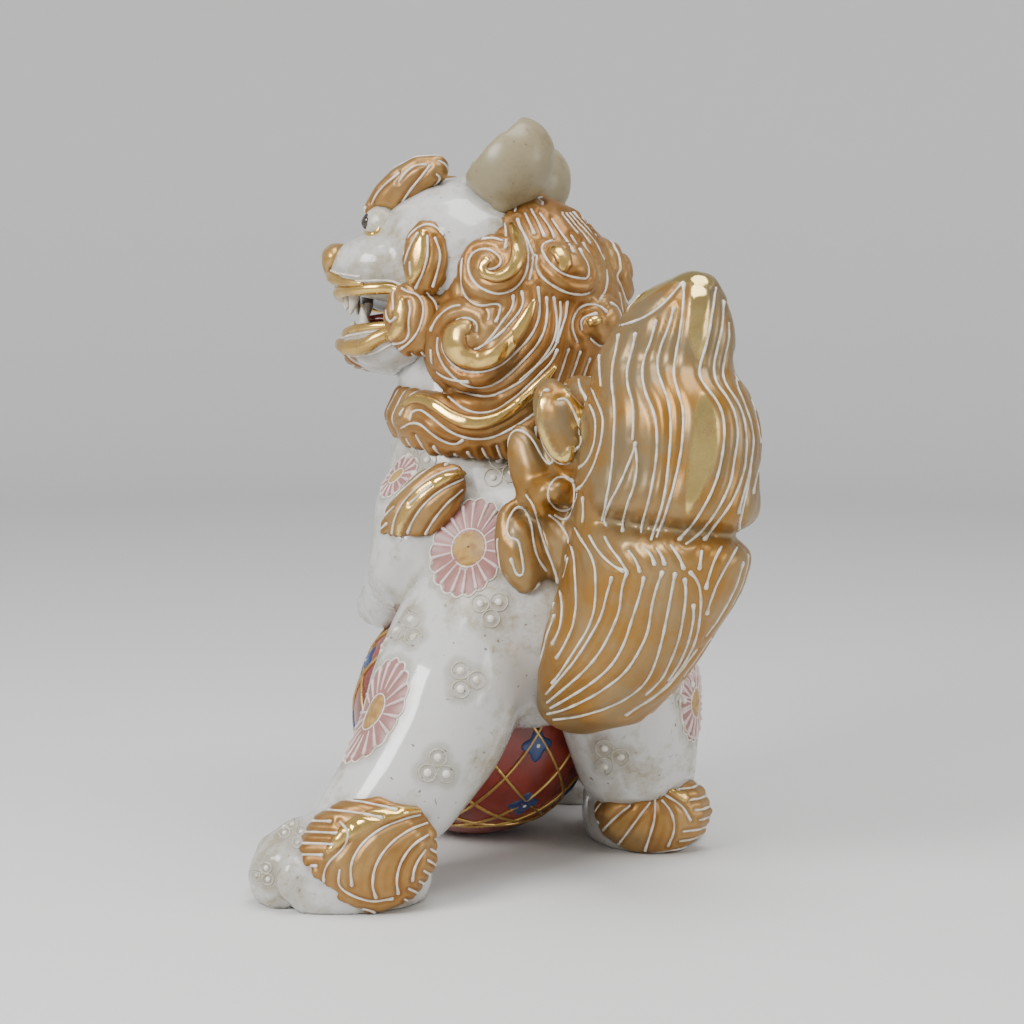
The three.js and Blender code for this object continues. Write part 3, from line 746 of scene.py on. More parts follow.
def piece(name, shape, material, slot, *stands_for, ridge=None, hollow=None):
    if isinstance(shape, Heap):
        verts = np.vstack(shape.v)
        faces = shape.f
        ridge = np.concatenate(shape.tone) if ridge is None else ridge
    else:
        verts, faces = shape.v, shape.f.tolist()
        hollow = dirt_and_shade_of(shape) if hollow is None else hollow
    mesh = bpy.data.meshes.new(name)
    mesh.from_pydata(((verts + bench) * MM).tolist(), [], faces)
    mesh.validate()
    if isinstance(shape, Heap):
        turned_outwards(mesh)
    mesh.shade_smooth()
    for label, values in (("ridge", ridge), ("hollow", hollow)):
        layer = mesh.attributes.new(label, "FLOAT", "POINT")
        if values is not None:
            layer.data.foreach_set("value", np.asarray(values, dtype=np.float32))
    mesh.materials.append(material)
    obj = bpy.data.objects.new(name, mesh)
    bpy.context.scene.collection.objects.link(obj)
    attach(obj, "root")
    if stands_for:
        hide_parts(*stands_for)
    print(f"{name}: {len(verts)} points")

# %% [markdown]
# ## The body
# Torso and legs are separate castings, but slip hides the joints and one glaze runs over all of them. So
# they share one skin. Toes are kept crisp by relaxing the paws less than the haunches.

# %% Wrap the body
PAW_CRISP, HAUNCH_SOFT = 34, 70
LIMBS = ("torso", "left_hind_leg", "right_hind_leg", "left_foreleg", "right_foreleg")
body = fused(LIMBS, 1.7, swell=0.5)
paw_spots = np.array([(97, 9, 12), (-64, -17, 12), (-76, -101, 12), (16, -83, 100)])
near_paw = np.min([np.linalg.norm(body.v - spot, axis=1) for spot in paw_spots], axis=0)
soft = ease(near_paw, PAW_CRISP, HAUNCH_SOFT) * 0.9 + 0.1
body.soften(70, soft)
print("body skin:", len(body.v), "points")

# %% [markdown]
# Three grooves part each paw into four round toes. A groove is deepest at the rim and fades towards the
# wrist. Each paw has its own middle, heading, length and height. The last one is the paw on the ball, so its
# up direction is away from the ball's centre. At the end the soles are set flat on the table.

# %% Cut the toes
GROOVE_ANGLES = (-34, 0, 34)
GROOVE_WIDTH = 6.0
GROOVE_DEPTH = 4.0
SOLE_HEIGHT = 0.6
PAWS = (((97, 9, 0), (0.866, -0.5, 0), 38, 30), ((-64, -17, 0), (-0.5, -0.866, 0), 38, 30),
        ((-76, -101, 0), (-0.2, -0.98, 0), 31, 27), ((16.7, -82.8, 98), (-0.255, -0.912, -0.322), 23, 22))
for centre, heading, length, height in PAWS:
    centre, heading = np.array(centre, float), unit(heading)
    top = unit(centre - BALL_CENTRE) if centre[2] > 0 else UP
    heading = unit(heading - top * np.dot(heading, top))
    side = np.cross(top, heading)
    away = body.v - centre
    ahead, across, above = away @ heading, away @ side, away @ top
    angle = np.degrees(np.arctan2(across, ahead + 0.25 * length))
    groove = sum(np.exp(-((angle - k) / GROOVE_WIDTH) ** 2) for k in GROOVE_ANGLES)
    rim = ease(np.hypot(ahead, across), 0.45 * length, 0.85 * length)
    low = 1 - ease(above, 0.55 * height, 1.0 * height)
    close = 1 - ease(np.linalg.norm(away, axis=1), 1.35 * length, 1.6 * length)
    body.push(-GROOVE_DEPTH * groove * rim * low * close * ease(ahead, 0, 0.3 * length))
body.soften(2)
soles = body.v[:, 2] < SOLE_HEIGHT
body.v[soles, 2] = 0.0
body.refresh()
print("points on the soles:", int(soles.sum()))

# %% [markdown]
# ## Laying out the drawn ornament
# A painter turns the figure to one side and draws the whole run of locks in one view. So the lines below are
# marks on an upright board, in millimetres across and millimetres above the table, seen from one fixed spot.
# Straight sight lines carry each mark to the clay. The unseen flank gets the same drawing, mirrored.
# Near an edge of the figure a mark could slip past and land on something far behind. So a sight board can
# remember how deep a shape lies, and a mark that lands elsewhere goes to the nearest clay at that depth.

# %% The sight board
EYE = np.array((492.0, 830.2, 258.0))
AHEAD = np.array((-0.5, -0.8660254, 0.0))
ACROSS = np.array((-0.8660254, 0.5, 0.0))
BOARD_REACH = 880.0
SAME_DEPTH = 9


class Sight:
    """A board seen from EYE. mirror is a point and a normal of the plane that the drawing flips across."""

    def __init__(self, skin, mirror=None):
        self.skin, self.mirror = skin, mirror
        self.right, self.up, self.out = ACROSS, UP, -AHEAD
        self.depth, self.slack = BOARD_REACH, 8
        skin.nearest(EYE)

    def line(self, x, y):
        start = EYE
        towards = unit(AHEAD * BOARD_REACH + ACROSS * x + UP * (y - EYE[2]))
        if self.mirror is not None:
            spot, normal = self.mirror
            start = start - 2 * normal * np.dot(start - spot, normal)
            towards = towards - 2 * normal * np.dot(towards, normal)
        return start, towards

    def hit(self, x, y):
        start, towards = self.line(x, y)
        spot, _, face, depth = self.skin.tree.ray_cast(Vector(start), Vector(towards))
        if spot is None:
            return None
        self.last = depth
        return np.array(spot), unit(self.skin.n[self.skin.f[face]].mean(axis=0))

    def follow(self, x, y, first=False):
        """Remembers how far away a shape lies, so that its edges don't jump to something behind it."""
        if self.hit(x, y) is not None and (first or abs(self.last - self.depth) < SAME_DEPTH):
            self.depth = self.last

    def carry(self, x, y):
        found = self.hit(x, y)
        if found is None or abs(self.last - self.depth) > self.slack:
            start, towards = self.line(x, y)
            return self.skin.nearest(start + towards * self.depth)
        return found


print("the board is", BOARD_REACH, "mm from the eye")

# %% [markdown]
# A drawn line has only a few points, as a painter would mark a stroke before pulling it. Cutting its corners
# three times gives the smooth stroke. It's then carried to the skin and broken wherever it leaves the clay,
# or leaps from one fold to another.

# %% Round the drawn lines and carry them over
LEAP = 5.5


def curve(points, step=1.2):
    """Rounds the corners of a drawn line and spaces its points evenly."""
    p = np.asarray(points, float)
    for _ in range(3):
        q = np.repeat(p, 2, axis=0)[1:-1].copy()
        q[0::2] = p[:-1] * 0.75 + p[1:] * 0.25
        q[1::2] = p[:-1] * 0.25 + p[1:] * 0.75
        p = np.vstack([p[:1], q, p[-1:]])
    run = np.concatenate([[0], np.cumsum(np.linalg.norm(np.diff(p, axis=0), axis=1))])
    at = np.linspace(0, run[-1], max(4, int(run[-1] / step) + 1))
    return np.stack([np.interp(at, run, p[:, k]) for k in range(p.shape[1])], axis=1)


def placed_runs(sight, lines, keep=None):
    """Carries drawn lines to the skin and breaks them where they leave it or jump across a gap."""
    runs = []
    for line in lines:
        run = []
        for x, y in curve(line):
            found = sight.hit(x, y)
            good = found is not None and (keep is None or keep(*found))
            if run and (not good or np.linalg.norm(found[0] - run[-1][0]) > LEAP):
                runs.append(run)
                run = []
            if good:
                run.append(found)
        runs.append(run)
    return [(np.array([p for p, _ in r]), np.array([n for _, n in r])) for r in runs if len(r) > 3]


def unseen(spot, normal):
    """True where the straight drawing can't reach, so the mirrored one may be used."""
    view = EYE - spot
    return np.dot(view, normal) < 0.10 * np.linalg.norm(view)


print("a line of 2 marks becomes", len(curve([(0, 0), (12, 0)])), "points")

# %% [markdown]
# White lines lie in grooves, and the clay between them is swollen like a pillow, whose crown later gets a
# painted highlight. Some locks are fatter still and rubbed bright, and some wide, low bands are only a
# painted highlight. Both shapes depend only on how far a point of the skin is from the nearest line, and a
# search tree of the line's points finds that quickly.

# %% Swell the clay
POLISH_AND_HIGHLIGHT_GAIN = 1.8


def search_tree(points):
    tree = KDTree(len(points))
    for number, spot in enumerate(points):
        tree.insert(Vector(spot), number)
    tree.balance()
    return tree


def marks_of(runs):
    return search_tree(np.vstack([p for p, _ in runs]))


def pillow(skin, runs, height, reach):
    """The clay swells between drawn lines. Returns how far up the swell each point is, from 0 to 1."""
    tree = marks_of(runs)
    gap = np.array([tree.find(Vector(p))[2] for p in skin.v])
    share = ease(gap, 0.2, reach)
    skin.push(height * (share - ease(gap, 1.2 * reach, 4.0 * reach) * 0.7))
    return share * (1 - ease(gap, 1.5 * reach, 4.5 * reach))


def raised_bands(skin, sight, bands):
    """Swells the clay under each band. Returns each point's share of rubbed polish and painted highlight,
    from 0 to 1.
    """
    polish_and_highlight, lift = np.zeros(len(skin.v)), np.zeros(len(skin.v))
    for line, widths, height in bands:
        for points, _ in placed_runs(sight, [line]):
            wide = spread_over(len(points), widths)
            tree = search_tree(points)
            away = np.linalg.norm(skin.v - points.mean(axis=0), axis=1)
            for i in np.flatnonzero(away < np.ptp(points, axis=0).sum()):
                _, number, gap = tree.find(Vector(skin.v[i]))
                share = 1 - gap / (1.25 * wide[number])
                if share > 0:
                    polish_and_highlight[i] = max(polish_and_highlight[i], min(1.0, POLISH_AND_HIGHLIGHT_GAIN * share))
                    lift[i] = max(lift[i], height * math.sqrt(share * (2 - share)))
    skin.push(lift)
    return polish_and_highlight


def filled_lines(skin, flow, drawn, clear, shortest=8.0, also=None):
    """Plain flowing lines on the ground that the drawing left open."""
    tree = marks_of(drawn)

    def open_ground(points):
        free = np.array([tree.find(Vector(p))[2] > clear for p in points])
        return free if also is None else free & also(points)

    return whole_lines(skin, flow, open_ground, shortest)


print("the clay swells between lines and under bands")

# %% [markdown]
# ## The mane
# The mane is one mass of clay with press-moulded curls. Each curl is a comma: a fat polished ridge that
# starts as a bulb and sweeps up and out. White enamel runs down both of its sides, and more lines follow it
# in wider and wider arcs. Below it a wavy ruff wraps the neck like a collar.

# %% The mane's drawing
# Each line is a list of marks (across, up). Each lock is its marks, its half widths and its height.
MANE_LINES = [
    [(-2.6, 265.8), (-2.1, 262.1), (-2.4, 256.9)],
    [(-3.6, 259.5), (-7.5, 260.6), (-12.3, 259.7), (-16.4, 256.9), (-18.5, 253.2), (-18.9, 248.7),
     (-18.7, 242), (-17.2, 238.3), (-14.2, 235.7), (-10.5, 234.9), (-7.5, 236), (-4.1, 236), (-4.5, 233),
     (-6.2, 229.3)],
    [(-9.7, 252.4), (-10.5, 249.4), (-7.9, 248.6), (-4.5, 250.2), (-3.9, 252.6), (-6.7, 255.5),
     (-10.8, 256.7), (-14.6, 255.2), (-16.5, 251.7), (-16.1, 247.2), (-13.5, 243.1), (-9.7, 240.9),
     (-5.2, 239.6), (-0.7, 240.7), (3.4, 243.9), (5.6, 248.7), (6.1, 254.6), (4.9, 260.6), (3, 264.3),
     (2.1, 267.3)],
    [(14.9, 259.5), (12, 258.7), (10.8, 256.9), (12.3, 253.5), (15.7, 249.4), (20.2, 246.5), (25.4, 245.6),
     (28.3, 245.3), (28.8, 248.7), (26.9, 253.2), (24.3, 257.6), (22, 261.3)],
    [(6.4, 245), (7.9, 251.7), (7.5, 254.6), (9.7, 253.9), (8.6, 250.2), (10.5, 246.5), (14.2, 243.5),
     (19.5, 240.5), (24.7, 239.4), (29.2, 240.1), (31.3, 243.5), (31.4, 248.7), (29.2, 253.9),
     (26.2, 258.4)],
    [(35.2, 248.7), (35.6, 244.2), (34.5, 239.8), (33, 237.5)],
    [(4.9, 269.5), (6.7, 265.8), (8.2, 262.1)],
    [(7.1, 271), (9.7, 266.5), (12, 261.3)],
    [(10.4, 269.5), (14.2, 264.3), (15.7, 260.6)],
    [(14.9, 267.3), (17.9, 262.8), (21.7, 257.6), (22.8, 255.4)],
    [(2.2, 266.5), (4.5, 262.1), (6.7, 257.6), (7.9, 253.9)],
    [(-13.1, 225.9), (-12.8, 228.6), (-15.7, 230.8), (-19.5, 230.8), (-23.3, 228.2), (-25.5, 224.8),
     (-26.3, 220.3), (-24, 215.1), (-20.3, 211.7), (-15, 210.2), (-9, 210.9), (-3, 213.9), (2.3, 218.8),
     (6.8, 223.3), (9.8, 229.3), (10.5, 235.3), (9.7, 242)],
    [(-17.3, 218.8), (-13.5, 218.8), (-9.8, 221.1), (-5.3, 224.1), (-0.8, 228.6), (3, 233), (4.5, 236.8),
     (3.7, 240.5)],
    [(-10.1, 221.1), (-6.8, 224.8), (-3.8, 229.3), (-0.7, 233), (0.7, 236), (0.4, 239)],
    [(-9, 230), (-8.4, 232.3), (-9.4, 233.8)],
    [(-27.8, 223.3), (-28.2, 218.8), (-26.3, 213.6), (-22.6, 209.1), (-18.1, 205.7), (-12, 204.5),
     (-5.3, 206.4), (0, 210.6), (5.3, 215.8), (9.8, 221.1), (12.4, 226.3), (13.3, 232.3), (12.9, 238.3)],
    [(-30.4, 218.8), (-29.9, 212.8), (-26.3, 208.7), (-21.1, 207.2), (-16.5, 206.9)],
    [(-22.6, 205.3), (-16.6, 202.3), (-9, 200.8), (-2.3, 203.8), (4.5, 207.5), (9, 212.8), (13.5, 218.1),
     (16.5, 224.1), (16.9, 230), (15.7, 238.3)],
    [(3, 207.5), (7.5, 211.3), (12.8, 215.8), (16.5, 220.3), (18.4, 226.3), (20.2, 231.5), (20.6, 236.8)],
    [(-33.1, 206), (-29.3, 204.9), (-25.6, 202.3), (-21.8, 199.3), (-17.3, 195.9), (-11.3, 194.7),
     (-5.3, 196.2), (0, 200), (6, 205.3), (11.3, 210.6), (15, 214.3), (16.9, 218.8)],
    [(-38.4, 192.5), (-37.7, 195.5), (-34.6, 196.6), (-30.9, 194), (-26.4, 190.2), (-21.9, 187.2),
     (-15.8, 185.3), (-9.1, 185.3), (-2.3, 187.9), (3, 191), (8.3, 194.7), (10.5, 197)],
    [(-41.5, 189.5), (-38.4, 191.3), (-34.7, 191.3), (-30.2, 187.2), (-25.7, 184.2), (-21.1, 183),
     (-18.5, 184.9)],
    [(24.4, 221.8), (22.5, 226.3), (22.5, 230), (24.7, 234.5), (28.5, 236), (33, 235.3), (35.2, 233)],
    [(26.3, 226.3), (25.5, 229.3), (27.7, 231.5), (31.5, 232.3)],
    [(18, 236.8), (18.4, 232.3), (17.3, 226.3), (16.9, 221.8)],
]
MANE_LOCKS = [
    ([(-8.6, 252.8), (-10.5, 251.5), (-11.1, 248.7), (-9.4, 246.6), (-6.4, 245.7), (-2.6, 246.8),
       (0.6, 249.4), (2.4, 253.2), (2.4, 257.6), (1.1, 262.1), (-0.4, 265.8)],
     [1.6, 1.8, 2, 2.2, 2.5, 2.8, 3, 3, 2.6, 2, 0.8], 2.4),
    ([(-15.4, 227.1), (-18.8, 227.8), (-21.8, 224.1), (-21.2, 218.8), (-17.3, 215.7), (-11.3, 214.7),
       (-5.3, 216.9), (-0.8, 221.8), (3.4, 227.4), (6.4, 233), (8.4, 237.9)],
     [2.6, 4.4, 4.6, 4.2, 3.8, 3.6, 3.4, 3, 2.8, 2.2, 0.8], 2.6),
    ([(18, 248.7), (20.2, 250.8), (19.1, 253.5), (16.4, 255.8), (14.2, 256.9)],
     [1.8, 3, 3.2, 2.4, 1], 2.4),
    ([(-41.4, 197.4), (-37.6, 200.5), (-33.1, 200.5), (-27.9, 197.5), (-23.4, 194), (-18.1, 191.6),
       (-12.1, 191.1), (-5.3, 193.2), (0.8, 197.2), (6.8, 202.4), (12, 207.7), (16.5, 212.8)],
     [0.8, 2, 2.4, 2.6, 2.8, 2.8, 2.8, 2.8, 2.6, 2.4, 2, 0.8], 2),
    ([(28.5, 228.6), (30.7, 230), (33.7, 230)],
     [1.6, 2.2, 1], 1.6),
]

print("mane lines:", len(MANE_LINES), "locks:", len(MANE_LOCKS))

# %% [markdown]
# The head is turned to the left and leans a little, so it has its own three directions. The plane through
# its middle is where the mane's drawing is mirrored for the far side.

# %% Where the head points
HEAD_MIDDLE = np.array((10.0, -68.0, 248.0))
HEAD_LEAN = math.radians(11)
HEAD_AHEAD = np.array((0.766, -0.643, 0.0))
HEAD_LEFT = np.array((0.643, 0.766, 0.0)) * math.cos(HEAD_LEAN) + UP * math.sin(HEAD_LEAN)
HEAD_UP = np.cross(HEAD_AHEAD, HEAD_LEFT)
mane_plane = (HEAD_MIDDLE, HEAD_LEFT)
print("head up:", np.round(HEAD_UP, 2))

# %% [markdown]
# On the ground that the drawing leaves open, plain lines stream down all round the mane and wind round each
# curl. The flow number counts 46 lines round the neck. Near a curl it becomes a spiral: distance from the
# curl's middle plus the angle round it. Lines stop short of the seam where one flow meets the other.

# %% Let the mane flow
LINES_ROUND_MANE = 46
CURL_SPACING = 4.6
CURL_RIM = 4
SEAM = 1.6
FACE_FRONT = 20
CURLS = [f"mane_curl_{side}_{place}" for place in ("temple", "cheek", "nape") for side in ("left", "right")]


def middle_and_reach(node):
    low, high = (np.array(c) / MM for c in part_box(node))
    return (low + high) / 2 - bench, max(high - low) / 2


curl_spots = [middle_and_reach(curl) for curl in CURLS]
mane = fused(["mane_cap", "ruff", *CURLS], 1.25, swell=0.7)
mane.soften(14)
mane_polish_and_highlight = raised_bands(mane, Sight(mane, mane_plane), MANE_LOCKS)
mane_runs = placed_runs(Sight(mane), MANE_LINES)
mane_runs += placed_runs(Sight(mane, mane_plane), MANE_LINES, unseen)
turn = np.arctan2(mane.v[:, 0] + 18, -(mane.v[:, 1] + 46))
flow = LINES_ROUND_MANE * turn / (2 * math.pi) + 0.7 * np.sin(mane.v[:, 2] / 13)
for centre, wide in curl_spots:
    arm = mane.v - centre
    away = np.linalg.norm(arm, axis=1)
    winding = away / CURL_SPACING + np.arctan2(arm[:, 2], arm @ ACROSS) / (2 * math.pi)
    flow = np.where(away < wide + CURL_RIM, winding, flow)


def off_the_seams(points):
    seam = np.min([np.abs(np.linalg.norm(points - c, axis=1) - w - CURL_RIM) for c, w in curl_spots], axis=0)
    return (seam > SEAM) & ((points - HEAD_MIDDLE) @ HEAD_AHEAD < FACE_FRONT)


mane_runs += filled_lines(mane, flow, mane_runs, 4.3, also=off_the_seams)
print("mane lines in all:", len(mane_runs))

# %% [markdown]
# The seen side gets its comma locks as separate rolls of clay, so that their undercut edges catch a shadow.
# On the far side the same locks were only swollen out of the mane, which is enough where nobody looks long.

# %% Finish the mane
mane_enamel, mane_locks = Heap(), Heap()
mane_share = pillow(mane, mane_runs, 1.3, 2.6)
sight = Sight(mane)
for line, widths, height in MANE_LOCKS:
    spine = curve(line, 1.4)
    width = spread_over(len(spine), widths)
    rise = height * (0.35 + 0.65 * width / max(widths))
    sight.follow(*spine[len(spine) // 2], first=True)
    sight.follow(*spine[1], first=True)
    lock(mane_locks, sight, spine, width, rise)
pipe_lines(mane_enamel, mane_runs, 0.56, 0.9)
# Each pillow's crown gets part of the bright gold as a painted highlight.
mane_polish_and_highlight = np.maximum(mane_share * 0.45, mane_polish_and_highlight)
piece("gilded_mane", mane, gold, "gilt", "mane_cap", "ruff", *CURLS, ridge=mane_polish_and_highlight)
piece("polished_mane_locks", mane_locks, gold, "gilt")
piece("mane_enamel_lines", mane_enamel, white_enamel, "white_enamel")

# %% [markdown]
# ## The tail
# The plume is one tall casting, folded like thick cloth: a hood at the tip, a deep fold, a round belly, a
# sharp second fold, and a full lower lobe. Its front edge is a polished rim. Enamel lines run from top to
# bottom, dip into each fold, and end in drops.

# %% The tail's drawing
TAIL_LINES = [
    [(31.2, 225.3), (37.5, 227.1), (44.9, 228.9), (52.2, 232.1), (58.4, 237.3), (62.6, 242.5),
     (64.2, 243.6)],
    [(31.2, 225.3), (27.6, 221.6), (25.8, 215.8), (24.8, 209.5), (25.5, 204.2), (28.2, 200), (30.8, 195.8),
     (31.9, 190.5), (31.4, 184.2), (29.3, 177.8), (25.1, 173.5)],
    [(32.3, 225.3), (29.7, 220), (28.3, 213.7), (29, 207.4), (31.8, 200), (34.3, 194.7), (34.5, 188.4),
     (33, 181), (30.4, 173.5), (27.2, 168.2), (24.1, 165)],
    [(33.6, 205.3), (32.9, 211.6), (33.1, 216.9), (34.6, 221.1)],
    [(34.2, 154.4), (36.2, 164), (37.8, 173.5), (38.6, 186.3), (38.9, 196.9), (37.6, 205.3), (37.6, 211.6),
     (39.1, 219), (40.2, 224.2)],
    [(45.6, 185.2), (45.9, 191.6), (45.6, 199), (43.4, 205.3), (43.1, 211.6), (45.1, 217.9), (46.5, 224.7)],
    [(35.8, 152.2), (34.7, 154.4), (36.8, 160.8), (40.5, 167.2), (43.6, 174.6), (46.2, 181.5),
     (46.7, 183.6)],
    [(46.7, 182.6), (47.5, 174.6), (46.3, 167.2), (43.7, 160.8), (42.1, 154.4), (42.1, 150.1)],
    [(49, 149.6), (49.5, 154.4), (51.6, 160.8), (53.1, 168.2), (54.7, 177.8), (54.8, 188.4), (53.5, 195.8),
     (50.3, 202.1), (48.7, 209.5), (49.7, 215.8), (52.3, 222.1), (54, 229.4)],
    [(52.8, 146.9), (54.3, 152.2), (56.9, 159.7), (58.4, 168.2), (59.4, 178.9), (60.1, 189.5), (59.3, 199),
     (56.6, 205.3), (54.4, 211.6), (55.4, 219), (58.5, 226.3), (60.8, 234.2)],
    [(54.9, 148), (58, 156.5), (60.6, 165), (62.6, 173.5), (64.1, 182), (64.6, 189.5), (64.6, 196.9),
     (62.4, 203.2), (60.5, 209.5), (61.7, 217.9), (63.3, 226.3), (64.2, 234.7), (64.4, 243)],
    [(76.2, 242), (74.8, 231.5), (73.3, 222.1), (70.7, 213.7), (70.2, 209), (73.4, 204.2), (77.7, 199),
     (79.9, 192.6), (80, 184.2), (78.5, 174.6), (76.4, 167.2), (72.8, 159.7), (68.6, 153.3), (63.4, 146.9)],
    [(66, 145.3), (69.7, 148), (75, 154.4), (79.2, 160.8), (82.8, 169.3), (83.7, 177.8), (85.2, 186.3),
     (84.1, 194.7), (80.9, 201.1), (76.6, 206.3), (75.5, 212.7), (77, 220), (79, 228.4), (78.9, 236.8)],
    [(81.1, 228.9), (81.2, 222.1), (79.1, 213.7), (79.2, 207.4), (82.9, 202.1), (86.7, 195.8),
     (88.4, 186.3), (88, 175.7), (86, 168.2), (82.3, 159.7), (77.1, 153.3), (72.9, 146.9)],
    [(83.8, 219), (83.7, 212.7), (84, 206.3), (87.2, 199), (89.9, 191.6), (91.1, 184.2), (89.6, 173.5),
     (87.6, 165), (85.5, 157.6)],
    [(84.9, 220), (86, 211.6), (88.7, 203.2), (91.5, 194.7), (93.1, 186.3), (93.8, 178.9), (92.3, 171.4),
     (90.8, 165)],
    [(90.1, 177.8), (89.4, 169.3), (87.6, 160.8), (85.6, 152.2), (85.7, 146.9)],
    [(23, 153.3), (25.7, 148), (29.4, 142.6), (31.6, 137.3), (32.1, 128.7), (31.6, 120.1), (29, 112.5),
     (24.2, 105), (19.5, 97.4), (15.7, 92)],
    [(29.4, 148.5), (32.6, 142.6), (37.9, 137.3), (42.2, 135.1)],
    [(35.2, 148), (37.4, 143.7), (41.1, 139.4), (43.8, 134.6)],
    [(44.3, 142.6), (47, 139.4), (48.6, 135.1)],
    [(49.6, 144.2), (52.8, 141.5), (54.1, 137.8)],
    [(54.9, 143.7), (57.1, 140.5), (57.9, 137.8)],
    [(60.2, 144.8), (63.4, 140.5), (65.1, 136.2)],
    [(71.9, 142.6), (71.1, 136.2)],
    [(79.3, 144.2), (76.7, 139.4), (74.6, 133), (73.6, 128.7)],
    [(85.7, 144.8), (82.6, 139.4), (78.9, 133), (75.8, 125.4), (74, 119)],
    [(13.1, 87.6), (17.9, 93.1), (24.2, 100.6), (29.6, 109.3), (34.3, 117.9), (35.9, 125.4), (38, 132.4)],
    [(13.6, 84.4), (20, 89.8), (27.5, 96.3), (33.8, 103.9), (38.1, 112.5), (41.2, 120.1), (41.7, 128.7),
     (43.8, 134.6)],
    [(14.7, 82.2), (22.2, 86.5), (30.7, 92), (38.1, 98.5), (42.9, 107.1), (45.5, 115.8), (48.6, 125.4),
     (50.2, 132.4)],
    [(13.6, 80), (19, 81.1), (28.6, 85.5), (37.1, 90.9), (43.5, 96.3), (47.7, 102.8), (51.9, 111.4),
     (52.9, 120.1), (54.5, 127.6), (57.1, 134.6)],
    [(15.8, 77.8), (25.4, 78.9), (36.1, 82.2), (44.6, 86.5), (51, 92), (54.2, 98.5), (56.8, 107.1),
     (58.8, 116.8), (60.4, 125.4), (61.9, 134)],
    [(51, 87.6), (56.9, 93.1), (60.5, 100.6), (63.7, 109.3), (65.2, 117.9), (66.2, 126.5), (65.6, 131.9)],
    [(59.5, 93.1), (63.8, 99.6), (66.9, 107.1), (69, 115.8), (68.9, 122.2)],
    [(46.8, 82.2), (55.3, 87.6), (61.7, 94.1), (66.9, 101.7), (70.1, 109.3), (71.3, 115.8), (71.9, 124.4),
     (70.9, 130.8), (67.7, 134.6)],
    [(70.1, 105), (64.8, 97.4), (58.5, 89.8), (51, 84.4), (43.6, 80)],
    [(14, 156.5), (18.3, 153.3), (21.4, 148), (23.6, 141.5), (24.1, 133), (24.7, 123.3), (23.7, 114.7),
     (21, 108.2), (17.3, 101.7)],
    [(5.5, 164), (8.7, 159.7), (10.3, 152.2), (12.4, 144.8), (15.6, 137.3), (18.3, 128.7), (19.4, 120.1),
     (18.3, 112.5), (15.7, 107.1)],
    [(16.1, 156.5), (19.3, 154.4), (22, 155.4), (23.9, 160.8), (23.8, 168.2), (20.9, 170.4)],
    [(13, 135.1), (9.8, 139.4), (8, 145.8), (7.3, 153.3), (5, 159.2), (1.8, 159.7), (-0.8, 156.5),
     (-2.2, 150.1), (-0.3, 146.9), (2.3, 147.4), (3.7, 141.5), (4.8, 133.5), (1.8, 133), (-0.1, 139.4)],
    [(25, 164.4), (24.5, 161.8), (23.1, 159.6), (21, 158.3), (18.7, 158), (16.4, 158.8), (14.7, 160.7),
     (13.7, 163.1), (13.7, 165.8), (14.7, 168.3), (16.5, 170.1), (18.7, 170.9), (21.1, 170.5),
     (23.1, 169.2)],
    [(17.3, 200), (20.3, 200.8), (23.4, 195.5), (26, 188.7), (26.4, 182.6), (23.4, 181.1)],
]
# The second and fourth bands, wide and barely raised, are a painted highlight where the plume's back takes
# the light.
TAIL_LOCKS = [
    ([(39, 228.6), (45, 235.3), (51.7, 239.8), (58.4, 243.9), (65.9, 246.1), (72.6, 243.9)],
     [1.4, 3, 3.6, 4, 4.6, 3], 0.8),
    ([(69.6, 243.5), (70.5, 233.8), (69.4, 222.6), (71.4, 214.3)],
     [3, 4.6, 4.2, 1.5], 0.4),
    ([(18.1, 211.6), (19.2, 205.3), (21.3, 199), (26.1, 193.7), (28.2, 188.4), (26.1, 182)],
     [0.8, 2.4, 3.2, 3.4, 2.6, 0.8], 1.3),
    ([(71.9, 201.1), (73, 192.6), (73.1, 184.2), (71.1, 174.6), (68.5, 165), (65.9, 157.6)],
     [2, 5.6, 6.2, 5.4, 3.2, 0.6], 0.25),
    ([(12.3, 202.1), (11.3, 194.7), (12.9, 186.3), (16.6, 178.9), (20.8, 177.8), (22.4, 182)],
     [0.8, 2.2, 2.6, 2.8, 2.4, 1], 1.8),
]
# The cups are pressed in, and later their hollow centres are painted dark as shade.
LEAF_CUPS = [
    ([(18.1, 199.3), (19.6, 193.2), (21.9, 187.2), (23.8, 183.4)],
     [1.6, 2.6, 2.6, 1.4], -1.6),
    ([(0.4, 154.5), (0.8, 148.8), (2.3, 143.8)],
     [1.2, 1.8, 1.2], -1),
]

print("tail lines:", len(TAIL_LINES), "locks:", len(TAIL_LOCKS))

# %% [markdown]
# The casting is a plain plume. Its folds are pushed in and out of the back as soft waves, each with a
# height, a width and a depth, and they tilt with the plume. The leaves at its front edge are cupped inwards.

# %% Fold the tail
FOLDS = ((213, 9, -4.5), (186, 17, 2.4), (148, 4.5, -7.5), (160, 8, 2.0), (130, 12, 2.2))
FOLD_TILT = 0.12
HOOD_FOOT = 238
HOOD_FLATNESS = 0.6
LEAVES = [f"tail_{side}_{leaf}" for side in ("left", "right")
          for leaf in ("upper_leaf", "boss", "middle_leaf", "lower_leaf")]
tail = fused(["tail_plume", "tail_web", *LEAVES], 1.35, swell=0.6)
tail.soften(46)
behind = ease(tail.n[:, 1] + 0.35 * (tail.v[:, 1] - 60) / 20, -0.35, 0.45)
fold = np.zeros(len(tail.v))
for height, wide, depth in FOLDS:
    slope = FOLD_TILT * (tail.v[:, 0] + 19)
    fold += depth * np.exp(-((tail.v[:, 2] - height - slope) / wide) ** 2)
tail.push(fold * behind).soften(3)
tip = tail.v[:, 2] > HOOD_FOOT
